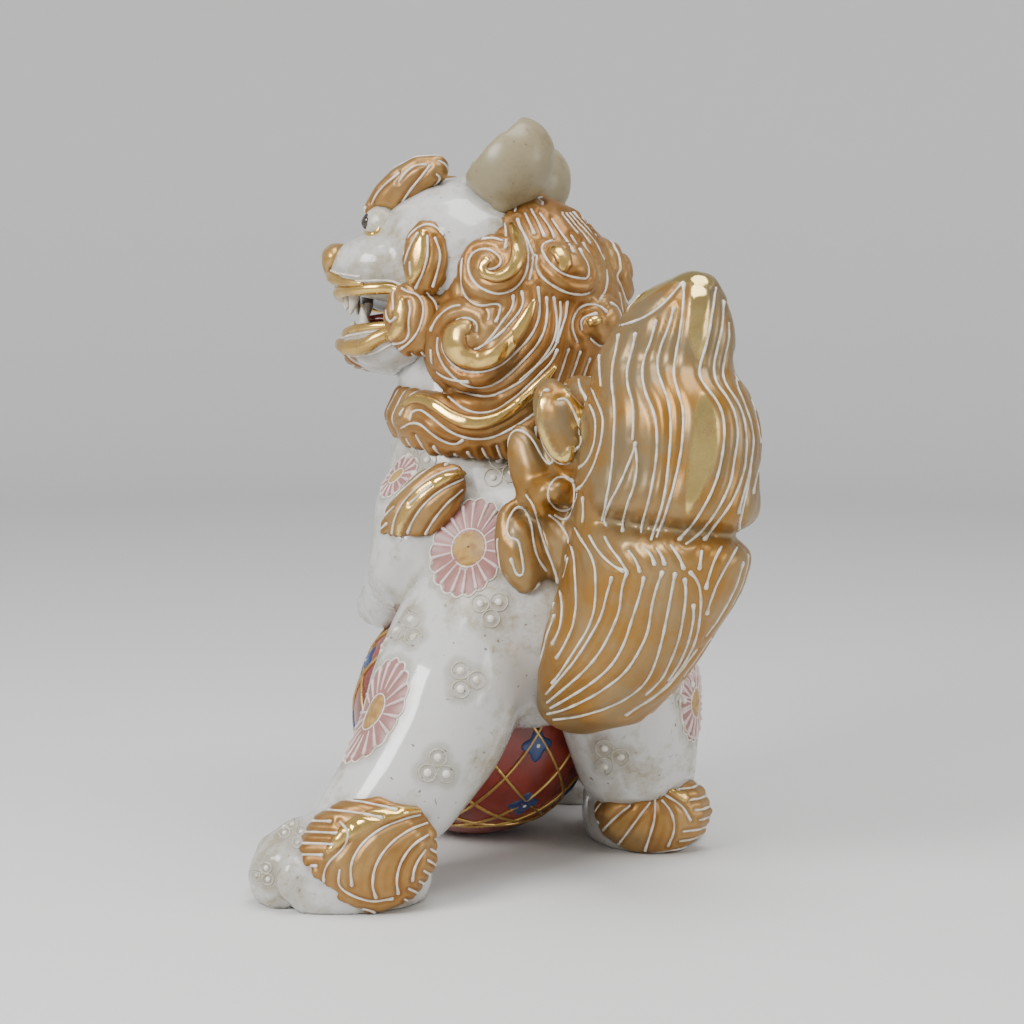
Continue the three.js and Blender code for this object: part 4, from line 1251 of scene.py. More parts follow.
tail.v[tip, 2] = HOOD_FOOT + (tail.v[tip, 2] - HOOD_FOOT) * HOOD_FLATNESS
tail.soften(4)
tail_plane = (np.array((-14.0, 66.0, 170.0)), unit((1.0, 0.0, 0.10)))
tail_polish_and_highlight = raised_bands(tail, Sight(tail), TAIL_LOCKS)
cupped = np.zeros(len(tail.v))
for mirror in (None, tail_plane):
    cupped = np.maximum(cupped, raised_bands(tail, Sight(tail, mirror), LEAF_CUPS))
print("tail skin:", len(tail.v), "points")

# %% [markdown]
# Round the back of the plume the lines run straight up and down, as the hand would pull them. The flow
# number is the angle round the plume's core, which bends with the plume. SPINE lists, from the foot to the
# tip, a height and where the core stands there, to the left and to the back.

# %% Line the tail
LINES_ROUND_TAIL = 31
HALF_WIDE, HALF_DEEP = 31, 42
tail_runs = placed_runs(Sight(tail), TAIL_LINES)
tail_runs += placed_runs(Sight(tail, tail_plane), TAIL_LINES, unseen)
SPINE = np.array([(73, 0, 10), (79, -5, 32), (96, -8, 47), (120, -13, 58), (147, -17, 66), (178, -19, 66),
                  (208, -21, 67), (234, -24, 73), (250, -26, 78)], float)
core_x, core_y = (np.interp(tail.v[:, 2], SPINE[:, 0], SPINE[:, k]) for k in (1, 2))
around = np.arctan2((tail.v[:, 0] - core_x) / HALF_WIDE, (tail.v[:, 1] - core_y) / HALF_DEEP)
flow = LINES_ROUND_TAIL * around / (2 * math.pi)


def round_the_back(points):
    """The far half of the plume, and its front face, where the drawing doesn't reach."""
    core = np.interp(points[:, 2], SPINE[:, 0], SPINE[:, 2])
    return (points[:, 2] < HOOD_FOOT) & ((points[:, 0] < -22) | (points[:, 1] < core - 5))


tail_runs += filled_lines(tail, flow, tail_runs, 5.4, also=round_the_back)
tail_share = pillow(tail, tail_runs, 0.9, 2.8)
tail_enamel = Heap()
pipe_lines(tail_enamel, tail_runs, 0.54, 1.0)
# Each pillow's crown gets part of the bright gold as a painted highlight.
tail_polish_and_highlight = np.maximum(tail_share * 0.4, tail_polish_and_highlight * (cupped == 0))
# The cupped leaf centres are painted dark as shade, on top of the dust and painted shade of the creases.
tail_dust_and_shade = np.maximum(dirt_and_shade_of(tail) * 0.8, cupped)
piece("gilded_tail", tail, tail_gold, "gilt", "tail_plume", "tail_web", *LEAVES,
      ridge=tail_polish_and_highlight, hollow=tail_dust_and_shade)
piece("tail_enamel_lines", tail_enamel, white_enamel, "white_enamel")

# %% [markdown]
# ## Cheeks, brows, beard and tufts
# These are small press-moulded leaves of clay. The ones on the seen side follow the drawing. The far cheek
# and brow get it mirrored, and the far elbow and wrist have a plain fan of lines.

# %% Their drawing
CHEEK_LINES = [
    [(-41.9, 243.5), (-43, 248.7), (-41.1, 256.9), (-37.3, 262.8), (-32.8, 265.8), (-28.4, 265),
     (-25, 260.6), (-23.2, 253.9), (-23.2, 246.5), (-25.5, 241.2), (-26.2, 238.3)],
    [(-41.2, 245), (-40.4, 250.2), (-38.1, 257.6), (-35.1, 262.1)],
    [(-31.7, 261.3), (-31.4, 254.6), (-32.9, 248.7), (-35.9, 242)],
    [(-28.8, 260.6), (-26.5, 254.6), (-27.7, 248.7), (-29.6, 242.7)],
    [(-43, 243.5), (-39.7, 240.5), (-35.2, 239.8), (-33, 236), (-33.4, 230), (-36, 224.1), (-40.6, 219.6),
     (-45.1, 218.1), (-49.6, 218.8), (-52.6, 220.3)],
    [(-31.8, 239.8), (-28.5, 236.8), (-27.7, 231.5), (-28.5, 226.3), (-31.5, 220.3)],
    [(-45.7, 242), (-46.6, 236.8), (-47.4, 231.5), (-45.4, 228.7), (-43.6, 230.8)],
    [(-38.6, 237.1), (-37.9, 233.8), (-39, 229.3), (-38.3, 224.8), (-40.5, 221.4), (-45.1, 221.1),
     (-48, 222.6)],
]
CHEEK_LOCKS = [
    ([(-33.2, 262.4), (-34, 256.9), (-35.5, 250.9), (-37, 245.7), (-38.2, 242)],
     [1, 3, 3.6, 3.2, 1], 1.2),
    ([(-41.2, 236.8), (-41.6, 232.3), (-42, 227.8), (-44.3, 224.1), (-47.3, 223.3)],
     [1.2, 2.6, 2.8, 2.2, 0.8], 1.4),
]
BROW_LINES = [
    [(-44, 271), (-41, 273.9), (-37.3, 279.1), (-33.5, 283.5), (-30.5, 287.2)],
    [(-43.6, 271), (-39.5, 271.7), (-35, 274.7), (-31.3, 277.6), (-29.1, 279.8)],
    [(-42.1, 281.3), (-39.5, 285), (-35.7, 287.6), (-32, 287.6)],
    [(-52.2, 273.2), (-49.9, 277.6), (-46.2, 281.3), (-42.1, 284.3)],
]
TUFT_LINES = [
    [(-30.7, 41.6), (-41.1, 39.2), (-50.7, 35.3), (-58.5, 28.6), (-62.4, 20.7), (-61.7, 12.8)],
    [(-31.5, 37.7), (-40, 34.5), (-47.7, 28.6), (-52.8, 20.7), (-54, 12.8), (-52.5, 8.1)],
    [(-32.3, 32.6), (-38.5, 28.6), (-43.1, 21.9), (-44.7, 14.8), (-44, 9.7)],
    [(-33.5, 26.7), (-37.4, 20.7), (-38.5, 14.8)],
    [(-66.3, 18.8), (-67.1, 12.8), (-62.5, 8.9), (-54, 6.1), (-46.3, 7.7)],
    [(-66.1, 37.7), (-62.3, 33.7), (-65, 26.7), (-70.9, 21.9), (-73.2, 14.8), (-68.7, 6.9)],
    [(53, 48.3), (45.3, 44.3), (38.4, 38.5), (33.8, 32.6)],
    [(53.7, 46.3), (49.2, 40.4), (44.6, 33.7), (39.6, 27.4)],
    [(54.9, 46.3), (54.9, 39.2), (53.1, 32.6), (51.2, 26.7)],
    [(56.8, 47.1), (61.5, 41.6), (62.7, 34.5), (60, 28.6)],
    [(58.7, 48.3), (65.3, 44.3), (68.4, 38.5)],
    [(49.1, 49.4), (39.5, 48.3), (33, 44.3), (30.7, 38.5)],
    [(-15.9, 174.3), (-25.3, 173.5), (-34.8, 167.9), (-42.4, 160.2), (-45.8, 150.7), (-44, 141.2)],
    [(-17.4, 170.5), (-27.2, 166), (-34.8, 159.1), (-39.4, 150.7), (-40.6, 143.8)],
    [(-18.9, 166), (-25.4, 160.2), (-31.1, 152.6), (-34.9, 145)],
    [(-16.6, 170.5), (-18.9, 162.1), (-23.5, 152.6), (-29.2, 143.8), (-36.8, 139.3)],
    [(-62.7, 222.6), (-59, 218.1), (-51.5, 216.9), (-43.9, 220.7), (-39, 225.6)],
    [(-62.7, 218.1), (-58.2, 213.6), (-50.4, 212.1), (-42.1, 216.6)],
    [(-60.1, 211.3), (-54.9, 208.7), (-47.4, 209.1)],
]
TUFT_LOCKS = [
    ([(-31.5, 41.6), (-42.3, 41.6), (-53.8, 39.2), (-63.4, 33.7), (-70, 26.7)],
     [0.8, 2.6, 3, 2.6, 0.8], 1.6),
    ([(-18.9, 172), (-27.2, 169.8), (-35.6, 163.7), (-41.7, 154.5), (-43.2, 145)],
     [0.6, 1.8, 2.4, 2.2, 0.8], 1.4),
    ([(38.4, 46.3), (49.1, 50.2), (59.9, 50.2), (67.6, 46.3)],
     [0.6, 2, 2.2, 0.8], 1.2),
]

print("leaf lines:", len(CHEEK_LINES) + len(BROW_LINES) + len(TUFT_LINES))

# %% [markdown]
# A leaf that no drawing covers gets a fan: lines that spread from its root and gather again at its tip.

# %% Draw a fan
FAR_ENOUGH = 30


def as_run(placed):
    """Splits (spot, direction) pairs into one array of spots and one of directions."""
    return np.array([spot for spot, _ in placed]), np.array([normal for _, normal in placed])


def fan(skin, outward, heading, count):
    """A fan of lines from the root of a leaf to its tip."""
    centre = skin.v.mean(axis=0)
    board = Board(skin, centre + unit(outward) * FAR_ENOUGH, heading, outward)
    board.at = centre + unit(outward) * 2
    x = (skin.v - centre) @ board.right
    y = (skin.v - centre) @ board.up
    wide, tall = x.max() * 0.8, y.max() * 0.85
    runs = []
    for k in range(count):
        side = 2 * k / (count - 1) - 1
        line = [(side * wide * 0.35, -tall), (side * wide * 0.95, -tall * 0.25),
                (side * wide * 0.75 + wide * 0.15, tall * 0.35),
                (side * wide * 0.12 + wide * 0.2, tall * 0.95)]
        runs.append(as_run([board.carry(a, b) for a, b in curve(line)]))
    return runs


print("a fan is drawn on a board", FAR_ENOUGH, "mm out from its leaf")

# %% [markdown]
# Every leaf goes the same way: wrap, melt, swell the polished lock, draw the lines, fill the ground between
# them, then pillow the clay and pipe the enamel. The fill runs along the leaf, bowed like a feather. The
# chin beard is spread and lifted a little, so that it hugs the jaw.

# %% Build the leaves
LEAF_SPACING = 4.4
LEAF_BOW = 0.0012
NOWHERE = 99
leaf_enamel = Heap()


def gild(name, lines, locks, mirror=None, fan_plan=None):
    leaf = fused([name], 0.8, swell=0.5)
    leaf.soften(20)
    if name == "chin_beard":
        sideways = (leaf.v - leaf.v.mean(axis=0)) @ HEAD_LEFT
        leaf.v += HEAD_UP * 5.5 + HEAD_LEFT * (0.22 * sideways)[:, None] + HEAD_AHEAD * 1.5
        leaf.refresh()
    if fan_plan:
        runs, polish_and_highlight = fan(leaf, *fan_plan), 0
    else:
        polish_and_highlight = raised_bands(leaf, Sight(leaf, mirror), locks)
        runs = placed_runs(Sight(leaf, mirror), lines)
    if name == "chin_beard":
        runs += placed_runs(Sight(leaf, mane_plane), lines, unseen)
    arm = leaf.v - leaf.v.mean(axis=0)
    along, across, _ = np.linalg.svd(arm, full_matrices=False)[2]
    flow = arm @ across / LEAF_SPACING + LEAF_BOW * (arm @ along) ** 2
    runs += filled_lines(leaf, flow, runs or [(leaf.v[:1] + NOWHERE, leaf.n[:1])], 3.7, 6.0)
    share = pillow(leaf, runs, 0.7, 2.2)
    pipe_lines(leaf_enamel, runs, 0.5, 0.8)
    # Each pillow's crown gets part of the bright gold as a painted highlight.
    piece("gilded_" + name, leaf, gold, "gilt", name, ridge=np.maximum(share * 0.5, polish_and_highlight))


gild("left_cheek_tuft", CHEEK_LINES, CHEEK_LOCKS)
gild("left_jowl_curl", CHEEK_LINES, CHEEK_LOCKS)
gild("left_brow", BROW_LINES, [])
gild("chin_beard", TUFT_LINES, [])
for name in ("left_hind_heel_tuft", "right_hind_heel_tuft", "left_elbow_tuft"):
    gild(name, TUFT_LINES, TUFT_LOCKS)
gild("right_cheek_tuft", CHEEK_LINES, CHEEK_LOCKS, mane_plane)
gild("right_jowl_curl", CHEEK_LINES, CHEEK_LOCKS, mane_plane)
gild("right_brow", BROW_LINES, [], mane_plane)
gild("right_elbow_tuft", [], [], fan_plan=((-0.9, 0.35, 0.2), (0.25, 0.45, 0.86), 5))
gild("right_fore_heel_tuft", [], [], fan_plan=((0, 1, 0.2), (0, -0.2, 1), 5))

# %% [markdown]
# ## The head
# Skull and lower jaw are two castings that meet behind an open mouth. The inside of the mouth is painted
# dark as shade, because the light doesn't reach it. Lips, nose and nostrils are touched with gold.

# %% Build the head
def in_head(ahead, left, up):
    return HEAD_MIDDLE + HEAD_AHEAD * ahead + HEAD_LEFT * left + HEAD_UP * up


head = fused(["skull", "lower_jaw"], 1.1, swell=0.5)
head.soften(30)
local = (head.v - HEAD_MIDDLE) @ np.stack([HEAD_AHEAD, HEAD_LEFT, HEAD_UP], axis=1)
reach = np.linalg.norm((local - (30, 0, -21.5)) / (27.5, 22.5, 9.8), axis=1)
inside = 1 - ease(reach, 0.93, 1.06)
print("points in the dark of the mouth:", int((inside > 0.5).sum()))

# %% [markdown]
# The lips are rolls of clay laid round the mouth and gilded, each with one white line along its outer edge.
# Two more rolls follow the cheeks on each side, one above the mouth and one along the jaw. Every path is
# given as ahead, left and up from the middle of the head.

# %% Lay the lips
LIP_SIDES = 10
UPPER_LIP = [(45, 0, -13), (42, 13, -14), (33, 22, -14), (22, 26, -13), (9, 27, -16), (3, 25, -22)]
LOWER_LIP = [(43, 0, -28), (38, 12, -28.5), (29, 20, -29), (17, 23, -28), (6, 24, -25)]
CHEEK_ROLL = [(50, 4, -4), (48, 10, -6), (43, 16, -8), (36, 21, -9.5), (27, 24.5, -10)]
JAW_ROLL = [(41, 3, -34), (36, 12, -36), (29, 18, -37), (20, 22, -35), (11, 24, -31), (4, 25, -27)]
gilt_lips = Heap()
for path, size, rim in ((UPPER_LIP, 2.7, 1), (LOWER_LIP, 2.1, -1)):
    whole = curve([(a, -l, u) for a, l, u in path[:0:-1]] + path, 1.6)
    roll = as_run([head.nearest(in_head(*p)) for p in whole])
    bead(gilt_lips, *roll, size, tone=0.8, sides=LIP_SIDES, lift=0.0)
    edge = [head.nearest(in_head(a + 0.5, l * 1.04, u + rim * (size + 1.6))) for a, l, u in whole]
    bead(leaf_enamel, *as_run(edge), 0.5)
for side in (1, -1):
    for path, thick, rim in ((CHEEK_ROLL, (2.6, 2.8, 1.2), 3.4), (JAW_ROLL, (2.4, 3.6, 2.6), -4.2)):
        half = [(a, side * l, u) for a, l, u in curve(path, 1.4)]
        roll = as_run([head.nearest(in_head(*p)) for p in half])
        sizes = spread_over(len(half), thick, (0, 0.4, 1))
        bead(gilt_lips, *roll, sizes, tone=0.7, sides=LIP_SIDES, lift=0.0)
        bead(leaf_enamel, *as_run([head.nearest(in_head(a, l, u + rim)) for a, l, u in half]), 0.5)
piece("gilt_lips", gilt_lips, gold, "gilt")
piece("leaf_enamel_lines", leaf_enamel, white_enamel, "white_enamel")

# %% [markdown]
# Between four fangs stand small front teeth, two above and two below on each side. A fang is a bead that
# thins to a point and leans forwards. They stand for the four plain fangs of the frame.

# %% Set the teeth
UPPER_TOOTH, LOWER_TOOTH = (1.5, 1.4, 0.8), (1.4, 1.3, 0.8)
FANG_RINGS = 7
mouth_trim = Heap()


def tooth(base, tip, sizes):
    bead(mouth_trim, [base, (base + tip) / 2, tip], [HEAD_AHEAD] * 3, sizes, lift=0)


for side in (1, -1):
    for across, at in ((4, 42), (9, 40)):
        across *= side
        tooth(in_head(at - 2, across, -14), in_head(at - 2.5, across, -18.5), UPPER_TOOTH)
        tooth(in_head(at - 5, across * 0.9, -28), in_head(at - 5, across * 0.9, -25.2), LOWER_TOOTH)
    for at, out, root, point in ((34, 12.5, -13, -22.5), (29, 12.5, -28.3, -19.3)):
        steps = np.linspace(0, 1, FANG_RINGS)
        points = [in_head(at + 1.5 * s * s, side * out, root + (point - root) * s) for s in steps]
        sizes = 2.5 * (1 - steps) ** 0.7 + 0.35
        bead(mouth_trim, points, [HEAD_AHEAD] * FANG_RINGS, sizes, sides=LIP_SIDES, lift=0)
piece("teeth_and_fangs", mouth_trim, white_enamel, "white_enamel",
      "upper_left_fang", "upper_right_fang", "lower_left_fang", "lower_right_fang")

# %% [markdown]
# The nose is a knob with two thumbed nostrils, gilded all over. The tongue is a plain slip of red.

# %% Nose and tongue
NOSTRIL_DEPTH, NOSTRIL_REACH = 2.6, 3.4
nose = fused(["nose"], 0.7, swell=0.5).soften(20)
for sign in (1, -1):
    nostril = np.linalg.norm(nose.v - in_head(51, sign * 6.5, -0.5), axis=1)
    nose.push(-NOSTRIL_DEPTH * np.exp(-(nostril / NOSTRIL_REACH) ** 2))
nose.soften(2)
piece("gilded_nose", nose, gold, "gilt", "nose", ridge=np.full(len(nose.v), 0.6))
tongue = fused(["tongue"], 0.7, swell=0.4).relax(12)
piece("red_tongue", tongue, red_glaze, "red_glaze", "tongue")

# %% [markdown]
# Eyes are glossy balls with a black pupil, ringed with gold. Ears are open cups, left in a thin olive wash
# that has worn half-matt.

# %% Eyes and ears
eye_rims, pupils = Heap(), Heap()
for side, sign in (("left", 1), ("right", -1)):
    eye = fused([f"{side}_eye"], 0.6, swell=0.4).soften(12)
    eye.v -= HEAD_LEFT * sign * 2.0
    piece(f"{side}_eyeball", eye, ivory_enamel, "white_enamel", f"{side}_eye")
    look = unit(HEAD_AHEAD * 0.92 + HEAD_LEFT * sign * 0.30 + HEAD_UP * 0.12)
    centre = in_head(22, sign * 16, 16)
    board = Board(eye, centre + look * 9, HEAD_UP, look)
    boss(pupils, board, lambda angle: 4.2, lambda share: 1.1 * (1 - share * share) + 0.1, rings=4, spokes=24)
    ring_board = Board(head, centre + look * 7, HEAD_UP, look)
    circle = [ring_board.carry(7.6 * math.cos(t), 6.6 * math.sin(t)) for t in np.linspace(0, 2 * math.pi, 33)]
    bead(eye_rims, *as_run(circle), 1.1, tone=0.9, sides=8)
    ear = fused([f"{side}_ear"], 1.0, swell=0.5).soften(70)
    piece(f"{side}_ear_cup", ear, ear_glaze, "worn_glaze", f"{side}_ear")
piece("black_pupils", pupils, black_glaze, "black_glaze")
piece("gilt_eye_rims", eye_rims, gold, "gilt")

# %% [markdown]
# ## The ball
# The ball is a brocade one, as the male guardian lion rolls under its paw. Its facets are turned back into a
# true sphere here, all but the seats that the paw and the belly press on, and its foot stays flat.

# %% Turn the ball
SEAT_DEPTH = 1.2
ball = fused(["brocade_ball"], 1.7, swell=0.3).relax(20)
arm = ball.v - BALL_CENTRE
far = np.linalg.norm(arm, axis=1)
round_part = np.abs(far - BALL_RADIUS) < 2.6
ball.v[round_part] = BALL_CENTRE + arm[round_part] / far[round_part, None] * (BALL_RADIUS - 0.2)
ball.v[:, 2] = np.maximum(ball.v[:, 2], 0)
ball.refresh()
piece("red_ball", ball, red_glaze, "red_glaze", "brocade_ball")

# %% [markdown]
# Gold ribbons run round the ball as great circles, six leaning each way, and cross in a net. A ribbon stops
# at each seat and at the floor.

# %% Tie the ribbons
RIBBONS = 6
LEAN = 35
ribbons = Heap()
for k in range(RIBBONS):
    angle = math.pi * k / RIBBONS
    for polar in (math.radians(90 - LEAN), math.radians(90 + LEAN)):
        axis = unit((math.cos(angle) * math.sin(polar), math.sin(angle) * math.sin(polar), math.cos(polar)))
        one = unit(np.cross(axis, (0.3, 0.2, 1.0)))
        two = np.cross(axis, one)
        run = []
        for t in np.linspace(0, 2 * math.pi, 161):
            out = one * math.cos(t) + two * math.sin(t)
            spot, n = ball.nearest(BALL_CENTRE + out * BALL_RADIUS)
            clear = np.linalg.norm(spot - BALL_CENTRE) > BALL_RADIUS - SEAT_DEPTH and spot[2] > 3
            if clear:
                run.append((spot, n))
            if run and (not clear or t > 6.28):
                bead(ribbons, *as_run(run), 0.75, tone=0.7)
                run = []
piece("gold_ribbons", ribbons, gold, "gilt")

# %% [markdown]
# A blue knot with four lobes sits in the net at regular places, in three rows. It has a white bead in its
# middle and one on each lobe.

# %% Set the knots
knots, beads = Heap(), Heap()
for row, count in ((-0.62, 8), (-0.1, 12), (0.45, 9)):
    for k in range(count):
        angle = 2 * math.pi * (k + 0.5 * (row > 0)) / count
        level = math.sqrt(1 - row * row)
        out = np.array((level * math.cos(angle), level * math.sin(angle), row))
        spot, n = ball.nearest(BALL_CENTRE + out * BALL_RADIUS)
        if np.linalg.norm(spot - BALL_CENTRE) < BALL_RADIUS - SEAT_DEPTH:
            continue
        board = Board(ball, spot)
        boss(knots, board, lambda angle: 7.0 + 1.6 * math.cos(4 * angle),
             lambda share: 0.9 * (1 - share ** 3), rings=4, spokes=32)
        blob(beads, board, 0, 0, 1.6)
        for t in np.arange(4) * math.pi / 2:
            blob(beads, board, 5.2 * math.cos(t), 5.2 * math.sin(t), 0.8)
piece("blue_knots", knots, blue_glaze, "red_glaze")
piece("white_knot_beads", beads, white_enamel, "white_enamel")

# %% [markdown]
# ## Flowers on the body
# A chrysanthemum is a pink wash cut into petals, a white scalloped edge, a thick stroke down each petal and
# a matt gold heart. Plum blossoms are smaller: rings of clear enamel with a white drop in the middle of each.

# %% Their places
# A flower is its name, its middle on the sight board, its half width and half height, its lean in degrees,
# its number of petals and the half sizes of its heart. A plum blossom is only its middle.
FLOWERS = [
    ("hip", (-16.3, 143.8), 13.9, 19.6, -22, 18, (6.4, 7.5)),
    ("shin", (-52.7, 80.6), 15.8, 23.3, -8, 18, (5.6, 7.9)),
    ("chest", (-43.8, 171.3), 9.8, 11.3, -15, 14, (3.4, 4.1)),
    ("flank_far", (70.3, 85.3), 14.3, 18.1, -4, 16, (4.5, 5.6)),
]
PLUMS = [
    (-17.6, 93.1), (-8.4, 120.8), (-40.0, 112.8), (-4.2, 173.5), (-35.9, 176.2), (-18.7, 270.2),
    (-28.7, 58.8), (37.5, 63.1), (65.3, 89.2), (-95.6, 17.2), (-80.4, 31.4), (-86.9, 36.1),
]
print("flowers:", len(FLOWERS), "plum blossoms:", len(PLUMS))

# %% [markdown]
# The chrysanthemum is drawn in the order of the brush: first the pink wash as a rippled sheet between heart
# and edge, then the white scalloped edge, then one thick stroke down each petal that ends in a fat drop, and
# last the heart as a low gold dome with a white ring. All of it leans and stretches as one ellipse.

# %% Paint a chrysanthemum
FLOWER_SLACK, BLOSSOM_SLACK = 30, 8
WASH_RINGS = (0.32, 0.55, 0.8, 1.0)
STEPS_PER_PETAL = 6
HEART_RINGS = (1.0, 0.75, 0.4, 0.05)
HEART_SPOKES = 24


def chrysanthemum(board, x0, y0, wide, tall, lean, petals, heart):
    turn = math.radians(lean)
    board.slack = FLOWER_SLACK
    board.follow(x0, y0, first=True)

    def along(angle, share, half=(wide, tall)):
        a, b = half[0] * share * math.cos(angle), half[1] * share * math.sin(angle)
        return x0 + a * math.cos(turn) - b * math.sin(turn), y0 + a * math.sin(turn) + b * math.cos(turn)

    def scallop(angle):
        return 0.94 + 0.07 * abs(math.cos(petals * angle / 2))

    around = petals * STEPS_PER_PETAL
    verts = []
    for ring, share in enumerate(WASH_RINGS):
        for i, a in enumerate(np.linspace(0, 2 * math.pi, around, endpoint=False)):
            spot, n = board.carry(*along(a, share * scallop(a)))
            ripple = abs(math.cos(petals * math.pi * i / around)) if ring else 0.6
            verts.append(spot + n * (0.12 + 0.35 * ripple if share < 1 else -0.03))
    wash.add(verts, ring_faces(len(WASH_RINGS), around, False))
    edge = [board.carry(*along(a, scallop(a))) for a in np.linspace(0, 2 * math.pi, around + 1)]
    bead(edges, *as_run(edge), 0.42)
    for k in range(petals):
        angle = 2 * math.pi * (k + 0.5) / petals
        inner, outer = 0.42 + 0.03 * math.sin(k * 5), 0.9
        line = [board.carry(*along(angle + 0.02 * math.sin(k * 3), s)) for s in np.linspace(inner, outer, 9)]
        bead(pale, *as_run(line), spread_over(9, (0.35, 0.5, 0.75, 0.95), (0, 0.2, 0.75, 1)))

    def oval(t, s):
        return board.carry(*along(t, s, heart))

    rim = [oval(t, 1.0) for t in np.linspace(0, 2 * math.pi, 33)]
    bead(edges, *as_run(rim), 0.4)
    verts = []
    for s in HEART_RINGS:
        for t in np.linspace(0, 2 * math.pi, HEART_SPOKES, endpoint=False):
            spot, n = oval(t, s)
            verts.append(spot + n * (1.0 * (1 - s * s) + 0.1))
    hearts.add(verts, ring_faces(len(HEART_RINGS), HEART_SPOKES, False))


print("a chrysanthemum is painted in four colours")

# %% [markdown]
# A plum blossom here is three round petals of clear raised enamel with a white drop in each.

# %% Paint a plum blossom
PETAL_RING, PETAL_DROP = 0.82, 0.42


def plum(board, x0, y0, size, turn):
    board.slack = BLOSSOM_SLACK
    board.follow(x0, y0, first=True)
    for k in range(3):
        angle = turn + 2 * math.pi * k / 3
        x, y = x0 + size * math.cos(angle), y0 + size * math.sin(angle)
        ring = [board.carry(x + size * PETAL_RING * math.cos(t), y + size * PETAL_RING * math.sin(t))
                for t in np.linspace(0, 2 * math.pi, 21)]
        bead(rings, *as_run(ring), 0.34)
        blob(drops, board, x, y, size * PETAL_DROP)


print("a plum blossom has 3 petals")

# %% [markdown]
# The seen flank gets its flowers by sight line. The hip flower is drawn wholly on the sight board. The
# others lie near an edge of the figure, where that would stretch them, so each has a flat board of its own
# where its sight line lands. The three last blossoms are smaller, because they sit on the toes.

# %% Paint the seen flank
LARGE_BLOSSOM, SMALL_BLOSSOM, FAR_BLOSSOM = 4.1, 2.6, 3.0
LARGE_BLOSSOMS = 9
wash, pale, edges, hearts, rings, drops = (Heap() for _ in range(6))
sight = Sight(body)
for name, (x, y), wide, tall, lean, petals, heart in FLOWERS:
    if name == "hip":
        chrysanthemum(sight, x, y, wide, tall, lean, petals, heart)
    else:
        spot, _ = sight.hit(x, y)
        chrysanthemum(Board(body, spot), 0, 0, wide, tall, lean, petals, heart)
for k, (x, y) in enumerate(PLUMS):
    plum(sight, x, y, LARGE_BLOSSOM if k < LARGE_BLOSSOMS else SMALL_BLOSSOM, 0.6 * k)
print("points of pink wash:", wash.count)

# %% [markdown]
# The far flank and the chest get five flowers of one size and ten blossoms, placed where the painter would
# have had room for them.

# %% Paint the far flank
FAR_FLOWERS = (((-56, -25, 120), (0.3, 0, 1)), ((-62, -60, 96), (0, 0, 1)), ((-30, -92, 160), (0, 0, 1)),
               ((12, -96, 168), (0.2, 0, 1)), ((-50, 6, 64), (0, 0, 1)))
FAR_PLUMS = ((-48, -38, 165), (-60, -2, 90), (-74, -80, 50), (-66, -30, 60), (30, -86, 150), (-12, -95, 190),
             (60, -5, 92), (-60, -80, 100), (72, -6, 50), (18, -62, 190))
for spot, up in FAR_FLOWERS:
    chrysanthemum(Board(body, spot, up), 0, 0, 12.5, 15, 20, 16, (4.6, 6))
for k, spot in enumerate(FAR_PLUMS):
    plum(Board(body, spot), 0, 0, FAR_BLOSSOM, 0.9 * k)
print("points of pink wash:", wash.count)

# %% [markdown]
# The white glaze is made darker close to raised enamel. The halo is the distance from a point of the skin to
# the nearest piece of ornament, added to the dirt and painted shade of the creases. Only now, with all the
# ornament placed, can the white body and head be made.

# %% Glaze the body and the head
HALO_NEAR, HALO_FAR, HALO_DARKENING = 1.0, 7.0, 0.62
MARK_STEP = 5
raised = [np.vstack(heap.v)[::MARK_STEP] for heap in (wash, edges, rings, leaf_enamel, mane_enamel)]
marks = search_tree(np.vstack(raised))
# The head passes the mouth's place on as `ridge`, where the white glaze paints shade.
for name, skin, castings in (("glazed_body", body, LIMBS), ("glazed_head", head, ("skull", "lower_jaw"))):
    halo = 1 - ease([marks.find(Vector(p))[2] for p in skin.v], HALO_NEAR, HALO_FAR)
    piece(name, skin, white_glaze, "white_glaze", *castings, ridge=inside if skin is head else None,
          hollow=np.maximum(dirt_and_shade_of(skin), HALO_DARKENING * halo))
piece("pink_petal_wash", wash, pink_enamel, "white_enamel")
piece("pale_petal_strokes", pale, petal_enamel, "white_enamel")
piece("white_flower_edges", edges, white_enamel, "white_enamel")
piece("gold_flower_hearts", hearts, flower_gold, "gilt")
piece("clear_petal_rings", rings, ivory_enamel, "white_enamel")
piece("white_petal_drops", drops, white_enamel, "white_enamel")

# %% [markdown]
# ## The studio
# The figure stands on a round pale floor that curves up into a low wall, like a paper sweep, so no horizon
# cuts behind it. Its sizes are in metres. It's a stage piece, not a part of the figure.

# %% Roll out the floor
FLOOR_RADIUS, WALL_HEIGHT = 1.9, 1.5
FLAT_RADIUS, BEND_RADIUS = 0.6, 0.45
FLOOR_SPOKES = 96
FLOOR_GAP = 0.0002


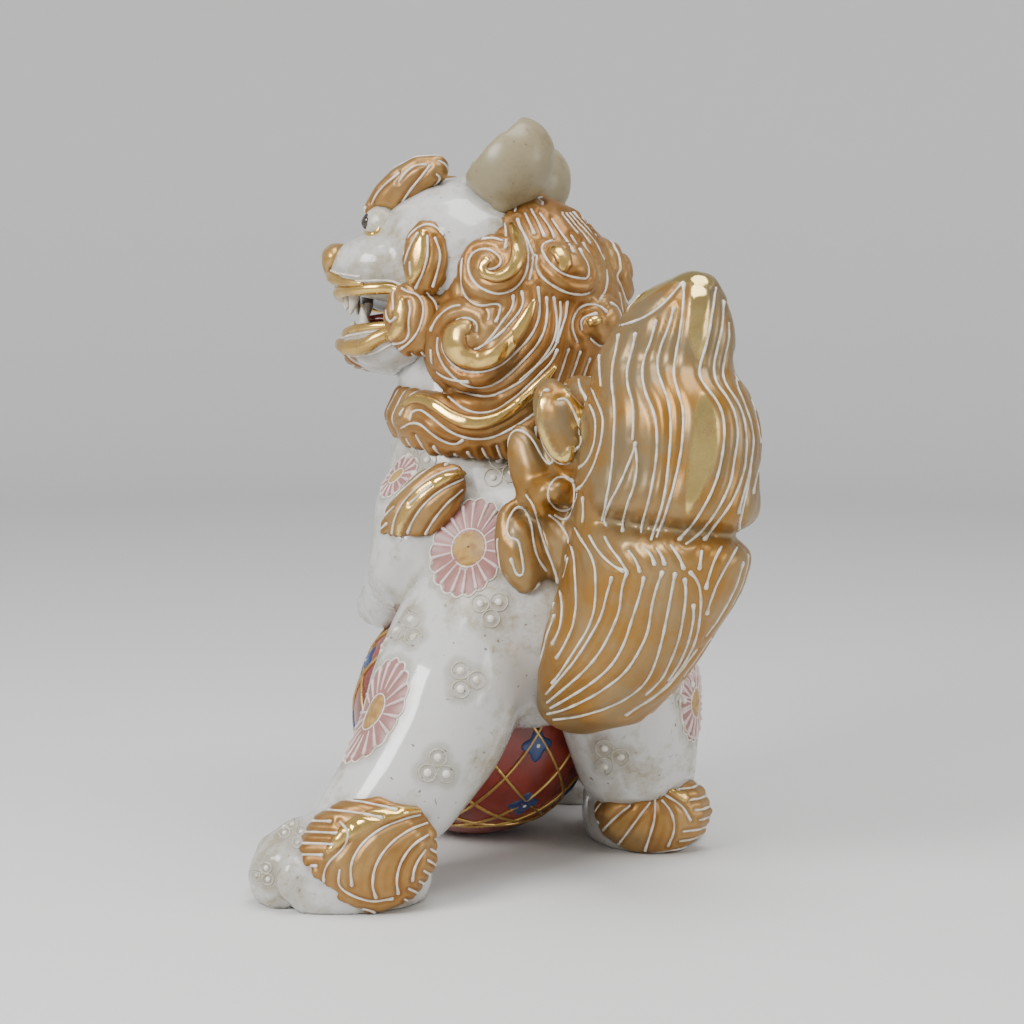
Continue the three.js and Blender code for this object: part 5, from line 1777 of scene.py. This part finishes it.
def sweep(name):
    bend_start = FLOOR_RADIUS - BEND_RADIUS
    profile = [(FLAT_RADIUS, 0), (bend_start, 0)]
    for t in np.linspace(0.15, 1.57, 10):
        profile.append((bend_start + BEND_RADIUS * math.sin(t), BEND_RADIUS - BEND_RADIUS * math.cos(t)))
    profile.append((FLOOR_RADIUS, WALL_HEIGHT))
    verts = [(r * math.cos(a), r * math.sin(a), z - FLOOR_GAP) for r, z in profile
             for a in np.linspace(0, 2 * math.pi, FLOOR_SPOKES, endpoint=False)]
    middle = tuple(range(FLOOR_SPOKES))[::-1]
    mesh = bpy.data.meshes.new(name)
    mesh.from_pydata(verts, [], ring_faces(len(profile), FLOOR_SPOKES, False) + [middle])
    mesh.shade_smooth()
    obj = bpy.data.objects.new(name, mesh)
    bpy.context.scene.collection.objects.link(obj)
    return obj


floor = sweep("studio_floor")
floor_finish, _, floor_shader = finish("pale_floor", rough=0.6)
floor_shader.inputs["Base Color"].default_value = (0.70, 0.70, 0.69, 1)
floor.data.materials.append(floor_finish)
print("floor:", FLOOR_RADIUS, "m to the wall")

# %% [markdown]
# Porcelain and gold show what they reflect. The light is a pale room with three soft boxes: a window high on
# the figure's left, a weak bounce from the other side, and a large box overhead. Soft edges on the boxes give
# long highlights that follow the form.

# %% Light the room
world = bpy.data.worlds.new("studio")
bpy.context.scene.world = world
world.use_nodes = True
world.node_tree.nodes["Background"].inputs["Color"].default_value = (0.84, 0.86, 0.90, 1)
world.node_tree.nodes["Background"].inputs["Strength"].default_value = 0.56


def softbox(name, at, aim, size, watts, colour=(1, 1, 1)):
    light = bpy.data.lights.new(name, "AREA")
    light.shape = "RECTANGLE"
    light.size, light.size_y = size
    light.energy = watts
    light.color = colour
    obj = bpy.data.objects.new(name, light)
    bpy.context.scene.collection.objects.link(obj)
    at, aim = (Vector((np.array(p) + bench) * MM) for p in (at, aim))
    obj.location = at
    obj.rotation_euler = (aim - at).to_track_quat("-Z", "Y").to_euler()


softbox("window", (1150, 250, 900), (0, 0, 140), (0.6, 0.6), 20)
softbox("bounce", (-700, 1000, 500), (0, 0, 140), (0.6, 0.6), 5, (1.0, 0.97, 0.93))
softbox("overhead", (0, 200, 1300), (0, 0, 100), (0.8, 0.8), 13)
print("soft boxes:", len(bpy.data.lights))

# %% [markdown]
# The camera stands behind the figure's left flank, a little above half its height, and looks slightly down.
# It is the same spot that the drawing's sight lines start from, and a long lens keeps the figure upright.

# %% Place the camera
LOOK_DOWN = 6.51
HEADING = 150
camera_data = bpy.data.cameras.new("camera")
camera_data.lens = 82.3
camera_data.sensor_width = 36.0
camera = bpy.data.objects.new("camera", camera_data)
bpy.context.scene.collection.objects.link(camera)
camera.location = Vector((EYE + bench) * MM)
camera.rotation_euler = (math.radians(90 - LOOK_DOWN), 0, math.radians(HEADING))
bpy.context.scene.camera = camera
print("camera at:", [round(c, 3) for c in camera.location])
